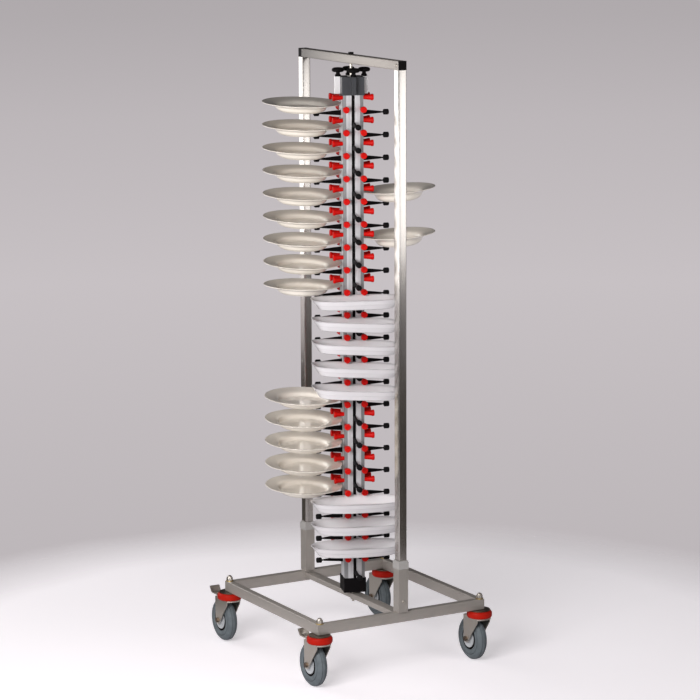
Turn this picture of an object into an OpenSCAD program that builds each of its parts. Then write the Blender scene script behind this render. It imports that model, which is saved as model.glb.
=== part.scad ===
// Plate rack trolley: a square column of four stacks of arms turns in a tall portal frame on four castors.
// +Z is up and the floor is z = 0. The portal stands across X, and the braked castors are on the -Y side.

/* [Frame] */
// Overall height, from the floor to the top of the top bar
total_h = 1720; // [1600:10:1850]
// Distance between the two uprights' centre lines
upright_span = 535; // [532:1:600]
// Side of the square tube of the uprights and the top bar
tube_w = 25; // [22:1:27]
// Wall of the square tube
tube_wall = 1.5; // [1:0.1:2]
// Outer depth of the base frame, front to back
base_depth = 540; // [480:10:620]
// Width of a base rail
rail_w = 20; // [18:1:24]
// Height of a base rail
rail_h = 30; // [26:1:36]
// Wall of the base rails and of the crossbeam
rail_wall = 1.5; // [1:0.1:2.5]
// Width of the crossbeam that carries the column
beam_w = 30; // [28:1:40]
// Height of the crossbeam
beam_h = 15; // [12:1:18]
// How far the crossbeam's top lies below the base rails' top
beam_drop = 5; // [5:0.5:8]
// Side of the square stubs that hold the uprights
stub_w = 30; // [30:0.5:32]
// Height of the stubs above the base rails
stub_h = 126; // [90:1:150]
// Height of the collars on the stubs
collar_h = 21; // [20:1:32]
// Side of the collars
collar_w = 33; // [33:0.5:36]
// Length of the moulded cap at the top bar's left end
cap_len = 18; // [10:1:22]
// Diameter of the frame screws
screw_d = 4.8; // [4:0.1:5.5]
// Diameter of the frame screws' heads
screw_head_d = 9; // [8:0.5:11]

/* [Castors] */
// Wheel diameter
wheel_d = 125; // [118:1:127]
// Width of the tyre
tyre_w = 32; // [28:1:35]
// Diameter of the hub inside the tyre
hub_d = 66; // [56:1:74]
// Height from the floor to the underside of the base rails
castor_h = 155; // [154:0.5:162]
// How far the wheel's axle trails behind the swivel axis
trail = 36; // [32:1:40]
// Thickness of the fork's pressed steel
fork_plate = 2.5; // [2:0.1:3]
// Diameter of the thread guard under the base
guard_d = 72; // [66:1:74]
// Diameter of the castor bolt
castor_bolt_d = 12; // [10:0.5:13]
// Diameter of the wheel's axle
axle_d = 8; // [7:0.5:10]
// Width of the brake pedal
pedal_w = 30; // [24:1:32]
// Length of the brake pedal behind its pivot
pedal_len = 54; // [44:1:60]

/* [Column] */
// Angle of the column about its upright axis
rack_angle = 71.5; // [0:0.5:180]
// Side of the square column
column_w = 60; // [58:1:64]
// Width of the slot between two posts
slot_w = 9; // [8:0.5:11]
// Wall of a post
post_wall = 2; // [1.5:0.1:3]
// Width of the step along a post's outer corner, where the bumpers sit
post_band = 10.5; // [10:0.1:11]
// Side of the blocks at the column's ends
block_w = 64; // [64:0.5:68]
// Height of the top block
top_block_h = 51; // [45:1:60]
// Height of the bottom block
bottom_block_h = 42; // [30:1:42]
// Gap between the top block and the top bar
top_gap = 36; // [34:1:44]
// Diameter of the two pivots
pivot_d = 8; // [7:0.5:10]
// Diameter of the thrust washer
washer_d = 32; // [28:1:38]
// Radial place of the clamp knobs
knob_reach = 37; // [36.5:0.5:40]
// Diameter of a knob's cap
knob_d = 35; // [30:1:38]
// Height of a knob
knob_h = 25; // [22:1:30]

/* [Arms and bumpers] */
// Vertical pitch of the levels in a stack
pitch = 64; // [64:1:72]
// Drop from the posts' top to the first arm tip of a side stack
first_drop = 50.4; // [49:0.2:54]
// Radial place of the arm tips' middle
tip_reach = 99; // [98.9:0.1:99.5]
// Diameter of an arm tip
tip_d = 16; // [12:0.5:16]
// Length of an arm tip
tip_len = 16; // [12:0.5:16.2]
// Width of an arm
arm_w = 7; // [5:0.5:8]
// Height of an arm at its root
arm_root_h = 15; // [12:0.5:15.5]
// Diameter of an arm's neck
neck_d = 4; // [3:0.5:5]
// Diameter of a bumper's collar
bumper_d = 18.5; // [15:0.5:18.5]
// Diameter of a bumper's root
bumper_root_d = 11; // [10.5:0.1:11]
// Distance between the two bumpers of a level
bumper_span = 49; // [48.8:0.1:49.4]
// Radial place of the bumpers' outer ends
bumper_reach = 58; // [52:0.5:60]
// Height of the bumpers above their level's arm tip
bumper_lift = 44.3; // [44.2:0.1:45]

/* [Crockery] */
// Diameter of the plates on the left stack
plate_d = 220; // [212:1:221]
// Radial place of the plates' centre
plate_reach = 142; // [141.8:0.1:142]
// Diameter of the plates on the right stack
small_plate_d = 209; // [204:1:210]
// Inner diameter of the foot ring of a plate on the left stack
foot_d = 103.6; // [103.4:0.1:104]
// Depth of a plate's foot ring
foot_depth = 3; // [1:0.5:3]
// Height of a plate on the left stack above its foot's recess
plate_h = 23.5; // [20:0.5:25]
// Length of the upper dishes
dish_l = 252; // [230:2:254]
// Depth of the upper dishes, column side to front
dish_w = 144; // [138:1:146]
// Height of the dishes
dish_h = 29; // [27:0.5:29.5]
// Length of the oval dishes
oval_l = 272; // [250:2:274]
// Depth of the oval dishes, column side to front
oval_w = 153; // [146:1:156]
// Wall of the dishes
dish_wall = 4; // [3:0.25:5]

/* [Hidden] */
$fn = 48;

// Clearances: of a piece that turns in its bore, of one that only sits in another, and between loose faces
run_fit = 0.05;
seat_fit = 0.1;
face_gap = 0.3;
over = 1;

// Frame
upright_x = upright_span / 2;
rail_y = base_depth / 2 - rail_w / 2;
base_x = upright_x + rail_w / 2;
rail_top = castor_h + rail_h;
beam_top = rail_top - beam_drop;
bar_z = total_h - tube_w;
bar_end = upright_x + tube_w / 2;
stub_bore = tube_w + 2 * face_gap;
stub_top = rail_top + stub_h;
collar_lap = 3;
cap_head = 1.5;
plug_len = 26;
plug_w = tube_w - 2 * tube_wall - 2 * seat_fit;
screw_len = 9;
screw_head_h = 2.5;
stub_screw_z = rail_top + 30;

// Castors
wheel_r = wheel_d / 2;
axle_z = wheel_r;
crown_z = wheel_d + 3;
crown_h = 4;
guard_z = crown_z + crown_h;
race_h = 3;
guard_top = castor_h - race_h - face_gap;
guard_wall = 2.5;
bearing_r = castor_bolt_d / 2 + 14;
fork_inner = tyre_w / 2 + 4;
fork_outer = fork_inner + fork_plate;
bolt_head_h = 6;
nut_w = 18;
nut_h = 10;
dome_h = 6;
washer_h = 1.5;
axle_head_w = axle_d + 5;
axle_head_h = 5;
axle_nut_h = 6;
crown_r = 34;
crown_tail = trail + 14;
crown_nose = 36;
leg_foot_r = 12;
pedal_pivot_x = -trail - 10;
pedal_pivot_z = guard_z + 7;
pedal_pin_d = 5;
pedal_plate = 3;
lug_t = 2.5;
lug_r = 4.5;
lug_y = pedal_w / 2 + face_gap + lug_t / 2;

// Column
washer_top = rail_top;
rack_z = washer_top + face_gap;
post_z = rack_z + bottom_block_h;
block_top = bar_z - top_gap;
post_top = block_top - top_block_h;
post_len = post_top - post_z;
post_step = 1;
post_in = slot_w / 2;
post_out = column_w / 2;
rail_out = post_out - 1.5;
rail_in = 8;
bush_d = pivot_d + 6;
top_pin_end = block_top - 40;
clamp_w = 11;
clamp_out = 47;
clamp_drop = 3;
stud_d = 6;
stud_len = 18;
bottom_pin_top = rack_z + 27;
pivot_nut_w = 13;
pivot_nut_h = 7;
pivot_head_h = 6;

// Stacks: 0 is the front, 1 the right, 2 the back and 3 the left. Front and back lie half a pitch lower.
bottom_clear = 24;
levels = floor((post_len - first_drop - pitch / 2 - bottom_clear) / pitch) + 1;
arm_root = rail_out;
tip_in = tip_reach - tip_len / 2;
neck_in = tip_in - 7;
neck_out = tip_in + tip_len - 4;
// An arm's side view: how far its heel hangs below its tip's middle, a place on its top, half its end
arm_heel = 7;
arm_bend = [50, 6.4];
arm_end = 2.6;
plate_levels_upper = [for (k = [0:8]) if (k < levels) k];
plate_levels_lower = [for (k = [13:17]) if (k < levels) k];
plate_levels_right = [for (k = [4, 6]) if (k < levels) k];
dish_levels_upper = [for (k = [8:12]) if (k < levels) k];
dish_levels_lower = [for (k = [17:19]) if (k < levels) k];

// Plates lean on their arm tips with the outer side up; the two on the right stack are smaller and deeper.
plate_floor = 5;
plate_rim_w = 30;
plate_tilt = 1.5;
plate_roll = 2.7;
small_foot_d = 93;
small_plate_h = 29.5;
small_reach = 136.5;
small_tilt = 4;
small_roll = 0;

// Dishes. A step of a dish's section is how far it lies inside the rim, and its share of the height.
dish_gap = 4.5;
dish_pitch = 1.9;
dish_roll = 3.5;
dish_shift = -10;
oval_shift = -6;
dish_power = 3.4;
oval_power = 2.27;
ring_points = 40;
dish_floor = dish_wall / dish_h;
dish_outside = [[26, 0], [21, 0.06], [15.5, 0.32], [14, 0.36], [4, 0.9], [0, 1]];
dish_inside = [[30, dish_floor], [24, dish_floor + 0.08], [9, 0.88], [dish_wall, 1]];

function tip_z(side, k) = post_top - first_drop - (side % 2 == 0 ? pitch / 2 : 0) - k * pitch;

steel = "#b9b2a8";
bright = "#dcdad6";
zinc = "#c9c7c0";
black = "#1b1a1b";
red = "#d21322";
white = "#f1eff0";
cream = "#efe6d8";
grey = "#8e8f90";

// The column's axis stands at axis_x, so that the origin is under the middle of the whole trolley.
axis_x = (trail + wheel_r - guard_d / 2) / 2;

module on_axis() {
    translate([axis_x, 0, 0]) children();
}

// Places the children with +X pointing outwards on one side of the column.
module on_side(side) {
    on_axis() rotate([0, 0, rack_angle + 90 * side - 90]) children();
}

module on_each_side() {
    for (side = [0:3]) on_side(side) children();
}

module box(size, at) {
    translate(at) translate([-size[0] / 2, -size[1] / 2, 0]) cube(size);
}

module hex(width, height) {
    cylinder(d = width / cos(30), h = height, $fn = 6);
}

// Base frame: four mitred tubes, a crossbeam and two stubs

module rail_outline(half_l) {
    polygon([[-half_l, -rail_w / 2], [half_l, -rail_w / 2], [half_l - rail_w, rail_w / 2],
             [rail_w - half_l, rail_w / 2]]);
}

// One mitred rail along X with its outer face at -Y, and half of each castor bolt's hole in its ends
module base_rail(half_l) {
    color(steel) translate([0, 0, castor_h]) difference() {
        linear_extrude(rail_h) rail_outline(half_l);
        box([2 * half_l + over, rail_w - 2 * rail_wall, rail_h - 2 * rail_wall], [0, 0, rail_wall]);
        for (x = [-1, 1]) translate([x * (half_l - rail_w / 2), 0, -over])
            cylinder(d = castor_bolt_d + 2 * seat_fit, h = rail_h + 2 * over);
    }
}

module base_rail_front() {
    on_axis() translate([0, -rail_y, 0]) base_rail(base_x);
}

module base_rail_back() {
    on_axis() rotate([0, 0, 180]) translate([0, -rail_y, 0]) base_rail(base_x);
}

module base_rail_right() {
    on_axis() translate([upright_x, 0, 0]) rotate([0, 0, 90]) base_rail(base_depth / 2);
}

module base_rail_left() {
    on_axis() translate([-upright_x, 0, 0]) rotate([0, 0, -90]) base_rail(base_depth / 2);
}

module crossbeam() {
    length = 2 * upright_x - rail_w;
    color(steel) on_axis() difference() {
        box([length, beam_w, beam_h], [0, 0, beam_top - beam_h]);
        box([length + over, beam_w - 2 * rail_wall, beam_h - 2 * rail_wall],
            [0, 0, beam_top - beam_h + rail_wall]);
        translate([0, 0, beam_top - beam_h - over])
            cylinder(d = pivot_d + 2 * seat_fit, h = beam_h + 2 * over);
    }
}

module square_tube(width, bore, length) {
    difference() {
        box([width, width, length], [0, 0, 0]);
        box([bore, bore, length + 2 * over], [0, 0, -over]);
    }
}

module stub_screw_hole(side) {
    translate([side * (upright_x + tube_w / 2), 0, stub_screw_z]) rotate([0, 90, 0])
        cylinder(d = screw_d + 2 * seat_fit, h = 2 * screw_len, center = true);
}

module stubs() {
    for (side = [-1, 1]) color(steel) on_axis() difference() {
        translate([side * upright_x, 0, rail_top]) square_tube(stub_w, stub_bore, stub_h);
        stub_screw_hole(side);
    }
}

// The collars lap over the stubs' tops and close the gap round the uprights.
module collars() {
    for (side = [-1, 1]) color(white) on_axis() translate([side * upright_x, 0, stub_top]) difference() {
        union() {
            box([collar_w, collar_w, collar_h - 4 + collar_lap], [0, 0, -collar_lap]);
            box([collar_w - 3, collar_w - 3, collar_h], [0, 0, 0]);
        }
        box([stub_w + seat_fit, stub_w + seat_fit, collar_lap + over], [0, 0, -collar_lap - over]);
        box([tube_w + seat_fit, tube_w + seat_fit, collar_h + 2 * over], [0, 0, -over]);
    }
}

module upright(side) {
    color(bright) on_axis() difference() {
        translate([side * upright_x, 0, rail_top])
            square_tube(tube_w, tube_w - 2 * tube_wall, bar_z - rail_top);
        stub_screw_hole(side);
    }
}

module upright_left() {
    upright(-1);
}

module upright_right() {
    upright(1);
}

module bar_screw_hole() {
    translate([upright_x, -tube_w / 2, bar_z + tube_w / 2]) rotate([90, 0, 0])
        cylinder(d = screw_d + 2 * seat_fit, h = 2 * screw_len, center = true);
}

module top_bar() {
    left = -bar_end + cap_len;
    length = bar_end - cap_head - left;
    color(steel) on_axis() difference() {
        translate([left, 0, bar_z + tube_w / 2]) rotate([0, 90, 0])
            square_tube(tube_w, tube_w - 2 * tube_wall, length);
        translate([0, 0, bar_z - over]) cylinder(d = pivot_d + 2 * seat_fit, h = tube_w + 2 * over);
        bar_screw_hole();
    }
}

module end_caps() {
    color(black) on_axis() union() {
        box([cap_len, tube_w, tube_w], [-bar_end + cap_len / 2, 0, bar_z]);
        box([plug_len, plug_w, plug_w],
            [-bar_end + cap_len + plug_len / 2 - over, 0, bar_z + (tube_w - plug_w) / 2]);
    }
    color(black) on_axis() difference() {
        union() {
            box([cap_head, tube_w, tube_w], [bar_end - cap_head / 2, 0, bar_z]);
            box([plug_len, plug_w, plug_w], [bar_end - plug_len / 2, 0, bar_z + (tube_w - plug_w) / 2]);
        }
        bar_screw_hole();
    }
}

// A pan-head screw that points along -Z from z = 0, the face that its head sits on
module frame_screw() {
    color(zinc) rotate_extrude() polygon([[0, screw_head_h], [screw_head_d / 4, screw_head_h],
        [screw_head_d / 2, screw_head_h / 3], [screw_head_d / 2, 0], [screw_d / 2, 0],
        [screw_d / 2, -screw_len], [0, -screw_len]]);
}

module frame_screws() {
    for (side = [-1, 1]) on_axis() translate([side * (upright_x + stub_w / 2), 0, stub_screw_z])
        rotate([0, side * 90, 0]) frame_screw();
    on_axis() translate([upright_x, -tube_w / 2, bar_z + tube_w / 2]) rotate([90, 0, 0]) frame_screw();
}

// Castors: each hangs from a bolt through a corner of the base and trails towards -X.

module at_castor(corner_x, corner_y) {
    on_axis() translate([corner_x * upright_x, corner_y * rail_y, 0]) children();
}

module at_each_castor() {
    for (corner_x = [-1, 1], corner_y = [-1, 1]) at_castor(corner_x, corner_y) children();
}

module castor_bolts() {
    at_each_castor() color(zinc) union() {
        translate([0, 0, crown_z - face_gap - bolt_head_h]) hex(nut_w, bolt_head_h);
        translate([0, 0, crown_z - face_gap - over])
            cylinder(d = castor_bolt_d, h = rail_top + nut_h - crown_z + over);
    }
}

// Domed nut on its washer
module castor_nuts() {
    bore = castor_bolt_d + 2 * run_fit;
    at_each_castor() {
        color("#c8b483") translate([0, 0, rail_top]) difference() {
            cylinder(d = nut_w + 4, h = washer_h);
            translate([0, 0, -over]) cylinder(d = bore, h = washer_h + 2 * over);
        }
        color(zinc) translate([0, 0, rail_top + washer_h]) difference() {
            union() {
                hex(nut_w - 2, nut_h);
                translate([0, 0, nut_h - over])
                    cylinder(r1 = nut_w / 2 - 1.5, r2 = nut_w / 4, h = dome_h + over);
            }
            translate([0, 0, -over]) cylinder(d = bore, h = nut_h + over);
        }
    }
}

// The fixed race of each swivel, against the base
module castor_races() {
    at_each_castor() color(zinc) translate([0, 0, castor_h - race_h]) difference() {
        cylinder(r = guard_d / 2 - 6, h = race_h);
        translate([0, 0, -over]) cylinder(d = castor_bolt_d + 2 * seat_fit, h = race_h + 2 * over);
    }
}

module along_y(radius, from_y, to_y) {
    translate([0, from_y, 0]) rotate([-90, 0, 0]) cylinder(r = radius, h = to_y - from_y);
}

// Side view of a fork leg: broad at the crown, round at the axle
module fork_leg_outline() {
    top = guard_z - axle_z;
    circle(r = leg_foot_r);
    polygon([[-leg_foot_r, 0], [-leg_foot_r - 2, top], [trail + 22, top], [trail + 22, top - crown_h - 8],
             [leg_foot_r - 1, -leg_foot_r / 2], [0, -leg_foot_r], [1 - leg_foot_r, -leg_foot_r / 2]]);
}

module fork_leg() {
    rotate([90, 0, 0]) linear_extrude(fork_plate, center = true) fork_leg_outline();
}

module fork(braked) {
    color(zinc) difference() {
        union() {
            translate([0, 0, crown_z]) linear_extrude(crown_h) intersection() {
                translate([-crown_tail, -fork_outer]) square([crown_tail + crown_nose, 2 * fork_outer]);
                union() {
                    circle(r = crown_r);
                    translate([-crown_tail, -fork_outer]) square([crown_tail, 2 * fork_outer]);
                }
            }
            translate([0, 0, guard_z - over]) cylinder(r = bearing_r, h = guard_top - guard_z + over);
            for (y = [-1, 1]) translate([-trail, y * (fork_outer - fork_plate / 2), axle_z]) fork_leg();
            if (braked) for (y = [-1, 1]) translate([pedal_pivot_x, y * lug_y, pedal_pivot_z])
                rotate([90, 0, 0]) linear_extrude(lug_t, center = true) union() {
                    circle(r = lug_r);
                    translate([-lug_r + 0.5, crown_z - pedal_pivot_z])
                        square([2 * lug_r - 1, pedal_pivot_z - crown_z]);
                }
        }
        translate([0, 0, crown_z - over]) cylinder(d = castor_bolt_d + 2 * run_fit, h = castor_h - crown_z);
        translate([-trail, 0, axle_z])
            along_y(axle_d / 2 + seat_fit, -fork_outer - over, fork_outer + over);
        if (braked) translate([pedal_pivot_x, 0, pedal_pivot_z])
            along_y(pedal_pin_d / 2 + seat_fit, -fork_outer - over, fork_outer + over);
    }
    axle();
    if (braked) color(zinc) translate([pedal_pivot_x, 0, pedal_pivot_z])
        along_y(pedal_pin_d / 2, -lug_y - lug_t / 2 - 0.5, lug_y + lug_t / 2 + 0.5);
}

// Bolt and nut through both legs and the hub
module axle() {
    color("#8b5a36") translate([-trail, 0, axle_z]) union() {
        along_y(axle_d / 2, -fork_outer - 1, fork_outer + 1);
        translate([0, -fork_outer, 0]) rotate([90, 0, 0]) hex(axle_head_w, axle_head_h);
        translate([0, fork_outer, 0]) rotate([-90, 0, 0]) hex(axle_head_w, axle_nut_h);
    }
}

module castor_fork_front_left() {
    at_castor(-1, -1) fork(true);
}

module castor_fork_front_right() {
    at_castor(1, -1) fork(true);
}

module castor_fork_back_left() {
    at_castor(-1, 1) fork(false);
}

module castor_fork_back_right() {
    at_castor(1, 1) fork(false);
}

// Ring-shaped cover over the swivel bearing
module guard() {
    height = guard_top - guard_z;
    color(red) translate([0, 0, guard_z]) rotate_extrude() difference() {
        polygon([[bearing_r + seat_fit, 0], [guard_d / 2, 0], [guard_d / 2, height - 4],
                 [guard_d / 2 - 4, height], [bearing_r + seat_fit, height]]);
        translate([bearing_r, -over]) square([guard_d / 2 - guard_wall - bearing_r, height - 3 + over]);
    }
}

module castor_guard_front_left() {
    at_castor(-1, -1) guard();
}

module castor_guard_front_right() {
    at_castor(1, -1) guard();
}

module castor_guard_back_left() {
    at_castor(-1, 1) guard();
}

module castor_guard_back_right() {
    at_castor(1, 1) guard();
}

module at_axle(corner_x, corner_y) {
    at_castor(corner_x, corner_y) translate([-trail, 0, axle_z]) rotate([90, 0, 0]) children();
}

// Hub with a raised boss and a sunk ring on each face, turning on the axle
module hub() {
    half = tyre_w / 2 - 1;
    color("#c4c6c8") rotate_extrude() polygon([[axle_d / 2 + run_fit, -fork_inner + face_gap],
        [axle_d / 2 + 3, -fork_inner + face_gap], [axle_d / 2 + 4, -half], [hub_d / 2 - 6, -half],
        [hub_d / 2 - 6, -half + 3], [hub_d / 2 - seat_fit, -half + 3], [hub_d / 2 - seat_fit, half - 3],
        [hub_d / 2 - 6, half - 3], [hub_d / 2 - 6, half], [axle_d / 2 + 4, half],
        [axle_d / 2 + 3, fork_inner - face_gap], [axle_d / 2 + run_fit, fork_inner - face_gap]]);
}

module wheel_hub_front_left() {
    at_axle(-1, -1) hub();
}

module wheel_hub_front_right() {
    at_axle(1, -1) hub();
}

module wheel_hub_back_left() {
    at_axle(-1, 1) hub();
}

module wheel_hub_back_right() {
    at_axle(1, 1) hub();
}

module tyre() {
    shoulder = tyre_w / 4;
    color(grey) rotate_extrude($fn = 96) union() {
        translate([hub_d / 2, -tyre_w / 2]) square([wheel_r - hub_d / 2 - shoulder, tyre_w]);
        translate([hub_d / 2, -tyre_w / 2 + shoulder]) square([wheel_r - hub_d / 2, tyre_w - 2 * shoulder]);
        for (side = [-1, 1]) translate([wheel_r - shoulder, side * (tyre_w / 2 - shoulder)])
            circle(r = shoulder);
    }
}

module wheel_tyre_front_left() {
    at_axle(-1, -1) tyre();
}

module wheel_tyre_front_right() {
    at_axle(1, -1) tyre();
}

module wheel_tyre_back_left() {
    at_axle(-1, 1) tyre();
}

module wheel_tyre_back_right() {
    at_axle(1, 1) tyre();
}

// Bent plate that dips behind its pivot and ends in a raised tread
module pedal() {
    color(zinc) translate([pedal_pivot_x, 0, pedal_pivot_z]) difference() {
        union() {
            along_y(pedal_pin_d / 2 + 2, -pedal_w / 2, pedal_w / 2);
            rotate([90, 0, 0]) linear_extrude(pedal_w, center = true) polygon([[-2, -3], [-12, -7],
                [-pedal_len + 12, -7], [-pedal_len, 9], [-pedal_len, 11], [-pedal_len + 6, 11],
                [-pedal_len + 14, -7 + pedal_plate], [-12, -7 + pedal_plate], [-2, 2]]);
        }
        along_y(pedal_pin_d / 2 + run_fit, -pedal_w / 2 - over, pedal_w / 2 + over);
    }
}

module brake_pedal_front_left() {
    at_castor(-1, -1) pedal();
}

module brake_pedal_front_right() {
    at_castor(1, -1) pedal();
}

// Pivots of the column

module top_pivot_pin() {
    color(bright) on_axis() union() {
        translate([0, 0, top_pin_end]) cylinder(d = pivot_d, h = total_h - top_pin_end + over);
        translate([0, 0, total_h]) hex(pivot_nut_w, pivot_head_h);
    }
}

module bottom_pivot_bolt() {
    nut_z = beam_top - beam_h - pivot_nut_h;
    color(zinc) on_axis() union() {
        translate([0, 0, nut_z - 6]) cylinder(d = pivot_d, h = bottom_pin_top - nut_z + 6);
        translate([0, 0, nut_z]) hex(pivot_nut_w, pivot_nut_h);
    }
}

module thrust_washer() {
    color(zinc) on_axis() translate([0, 0, beam_top]) difference() {
        cylinder(d = washer_d, h = washer_top - beam_top);
        translate([0, 0, -over]) cylinder(d = pivot_d + 2 * seat_fit, h = beam_drop + 2 * over);
    }
}

// Column: four hollow posts with a slot on each side for an arm rail

module post_outline() {
    band = post_out - post_band;
    low = post_out - post_step;
    difference() {
        polygon([[post_in, post_in], [post_out, post_in], [post_out, band], [low, band], [low, low],
                 [band, low], [band, post_out], [post_in, post_out]]);
        translate([post_in + post_wall, post_in + post_wall])
            square(low - post_in - 2 * post_wall);
    }
}

module rack_posts() {
    on_each_side() color("#bfc0c2") translate([0, 0, post_z]) linear_extrude(post_len) post_outline();
}

module arm_rails() {
    on_each_side() color(black) box([rail_out - rail_in, slot_w - seat_fit, post_len],
                                    [(rail_out + rail_in) / 2, 0, post_z]);
}

module top_block() {
    color("#2b2d30") on_side(0) difference() {
        box([block_w, block_w, top_block_h], [0, 0, post_top]);
        translate([0, 0, post_top - over]) cylinder(d = bush_d + 2 * seat_fit, h = top_block_h + 2 * over);
    }
}

module bottom_block() {
    color("#2b2d30") on_side(0) difference() {
        box([block_w, block_w, bottom_block_h], [0, 0, rack_z]);
        translate([0, 0, rack_z - over])
            cylinder(d = pivot_d + 2 * run_fit, h = bottom_pin_top - rack_z + 2);
    }
}

// Flanged bush in which the top pivot pin turns
module top_bush() {
    color(white) on_axis() difference() {
        union() {
            translate([0, 0, post_top]) cylinder(d = bush_d, h = top_block_h);
            translate([0, 0, block_top]) cylinder(d = bush_d + 8, h = 2);
        }
        translate([0, 0, post_top - over]) cylinder(d = pivot_d + 2 * run_fit, h = top_block_h + 4);
    }
}

module clamp_plates() {
    length = clamp_out - block_w / 2;
    on_each_side() color(bright) difference() {
        box([length, clamp_w, top_block_h - clamp_drop],
            [block_w / 2 + length / 2, 0, post_top + clamp_drop]);
        translate([knob_reach, 0, block_top - stud_len - 1])
            cylinder(d = stud_d + 2 * run_fit, h = stud_len + 2);
    }
}

// Mushroom knob on a threaded stud
module knob() {
    r = knob_d / 2;
    stud = stud_d / 2;
    flange = stud + 5.2;
    neck = stud + 2.5;
    cap = knob_h / 2;
    color(black) translate([knob_reach, 0, block_top + face_gap]) rotate_extrude() polygon([[0, -stud_len],
        [stud, -stud_len], [stud, 0], [flange, 0], [flange, knob_h / 5], [neck, knob_h / 5 + 2],
        [neck, cap - 1], [r - 3, cap], [r, cap + 3], [r, knob_h - 5], [r - 3, knob_h - 1.5], [r / 2, knob_h],
        [0, knob_h]]);
}

module knob_front() {
    on_side(0) knob();
}

module knob_right() {
    on_side(1) knob();
}

module knob_back() {
    on_side(2) knob();
}

module knob_left() {
    on_side(3) knob();
}

// Arms: a tapering blade with a thin neck that carries a soft tip

// Side view of a blade that tapers towards the neck on both edges
module arm_outline() {
    polygon([[arm_root, -arm_heel], [arm_root, arm_root_h - arm_heel], arm_bend, [neck_in, arm_end],
             [neck_in + 2, neck_d / 2 - 0.2], [neck_in + 2, 0.2 - neck_d / 2], [neck_in, -arm_end]]);
}

module arm() {
    rotate([90, 0, 0]) linear_extrude(arm_w, center = true) arm_outline();
    translate([neck_in - 1, 0, 0]) rotate([0, 90, 0]) cylinder(d = neck_d, h = neck_out - neck_in + 1);
}

module arms(side) {
    on_side(side) for (k = [0:levels - 1]) translate([0, 0, tip_z(side, k)]) color(black) arm();
}

module arms_front() {
    arms(0);
}

module arms_right() {
    arms(1);
}

module arms_back() {
    arms(2);
}

module arms_left() {
    arms(3);
}

module arm_tip() {
    translate([tip_in, 0, 0]) rotate([0, 90, 0]) difference() {
        cylinder(d = tip_d, h = tip_len);
        translate([0, 0, -over])
            cylinder(d = neck_d + 2 * run_fit, h = neck_out - tip_in + over + face_gap);
    }
}

module arm_tips() {
    for (side = [0:3]) on_side(side) for (k = [0:levels - 1])
        translate([0, 0, tip_z(side, k)]) color(black) arm_tip();
}

// A bumper widens from its root to its collar. Its foot stands on the step along the post's corner.
module bumper() {
    length = bumper_reach - post_out + post_step;
    root = bumper_root_d / 2;
    foot = root - 1.1;
    collar = bumper_d / 2;
    rotate([0, 90, 0]) rotate_extrude() polygon([[0, 0], [foot, 0], [foot, post_step + 0.3],
        [root, post_step + 0.6], [collar - 1.2, length - 7], [collar, length - 6.5], [collar, length - 1],
        [collar - 1, length], [0, length]]);
}

module bumpers(side) {
    on_side(side) for (k = [0:levels - 1], y = [-1, 1])
        translate([post_out - post_step, y * bumper_span / 2, tip_z(side, k) + bumper_lift])
            color(red) bumper();
}

module bumpers_front_back() {
    for (side = [0, 2]) bumpers(side);
}

module bumpers_sides() {
    for (side = [1, 3]) bumpers(side);
}

// Crockery: plates hooked by their foot rings, dishes laid on the arms

// Half section of a plate: foot ring, flat shoulder, bowl and broad rim, with heights from the foot's recess
module plate_outline(radius, foot, height) {
    rim = radius - plate_rim_w;
    polygon([[0, 0], [foot, 0], [foot, -foot_depth], [foot + 4, -foot_depth], [foot + 5.5, -1],
             [foot + 11, -0.5], [foot + 17.5, height * 0.19], [foot + 21.5, height * 0.5],
             [rim, height * 0.65], [radius - 1, height - 2], [radius, height - 1], [radius - 1, height],
             [rim + 1, height * 0.8], [foot + 19.5, height * 0.66], [foot + 15, height * 0.3],
             [foot + 9.5, plate_floor], [0, plate_floor]]);
}

// A plate whose recess touches its arm's tip in the middle of the tip's length, whatever the tilt
module plate(side, k, radius, foot, height, reach, tilt, roll) {
    lift = tip_z(side, k) + tip_d / 2 + face_gap + tip_len / 2 * sin(tilt);
    on_side(side) translate([tip_reach, 0, lift]) rotate([-roll, -tilt, 0]) translate([reach - tip_reach, 0, 0])
        color(cream) rotate_extrude() plate_outline(radius, foot, height);
}

// The upper plates' last one isn't rolled, as the first dish lies close below it.
module large_plate(k) {
    roll = k == dish_levels_upper[0] ? 0 : plate_roll;
    plate(3, k, plate_d / 2, foot_d / 2, plate_h, plate_reach, plate_tilt, roll);
}

module plates_left_upper() {
    for (k = plate_levels_upper) large_plate(k);
}

module plates_left_lower() {
    for (k = plate_levels_lower) large_plate(k);
}

module plates_right() {
    for (k = plate_levels_right)
        plate(1, k, small_plate_d / 2, small_foot_d / 2, small_plate_h, small_reach, small_tilt, small_roll);
}

// A ring of a dish: a superellipse with half sizes a and b, rounder at a lower power
function sized(v, power) = sign(v) * pow(abs(v), 2 / power);

function dish_ring(a, b, power, z) = [for (i = [0:ring_points - 1])
    [b * sized(sin(360 * i / ring_points), power), a * sized(cos(360 * i / ring_points), power), z]];

// Solid between stacked rings, closed at both ends
module dish_shell(rings) {
    count = len(rings);
    points = [for (ring = rings) each ring];
    sides = [for (r = [0:count - 2], i = [0:ring_points - 1]) let (j = (i + 1) % ring_points)
        [r * ring_points + i, r * ring_points + j, (r + 1) * ring_points + j, (r + 1) * ring_points + i]];
    bottom = [[for (i = [ring_points - 1:-1:0]) i]];
    top = [[for (i = [0:ring_points - 1]) (count - 1) * ring_points + i]];
    polyhedron(points, concat(sides, bottom, top));
}

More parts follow.
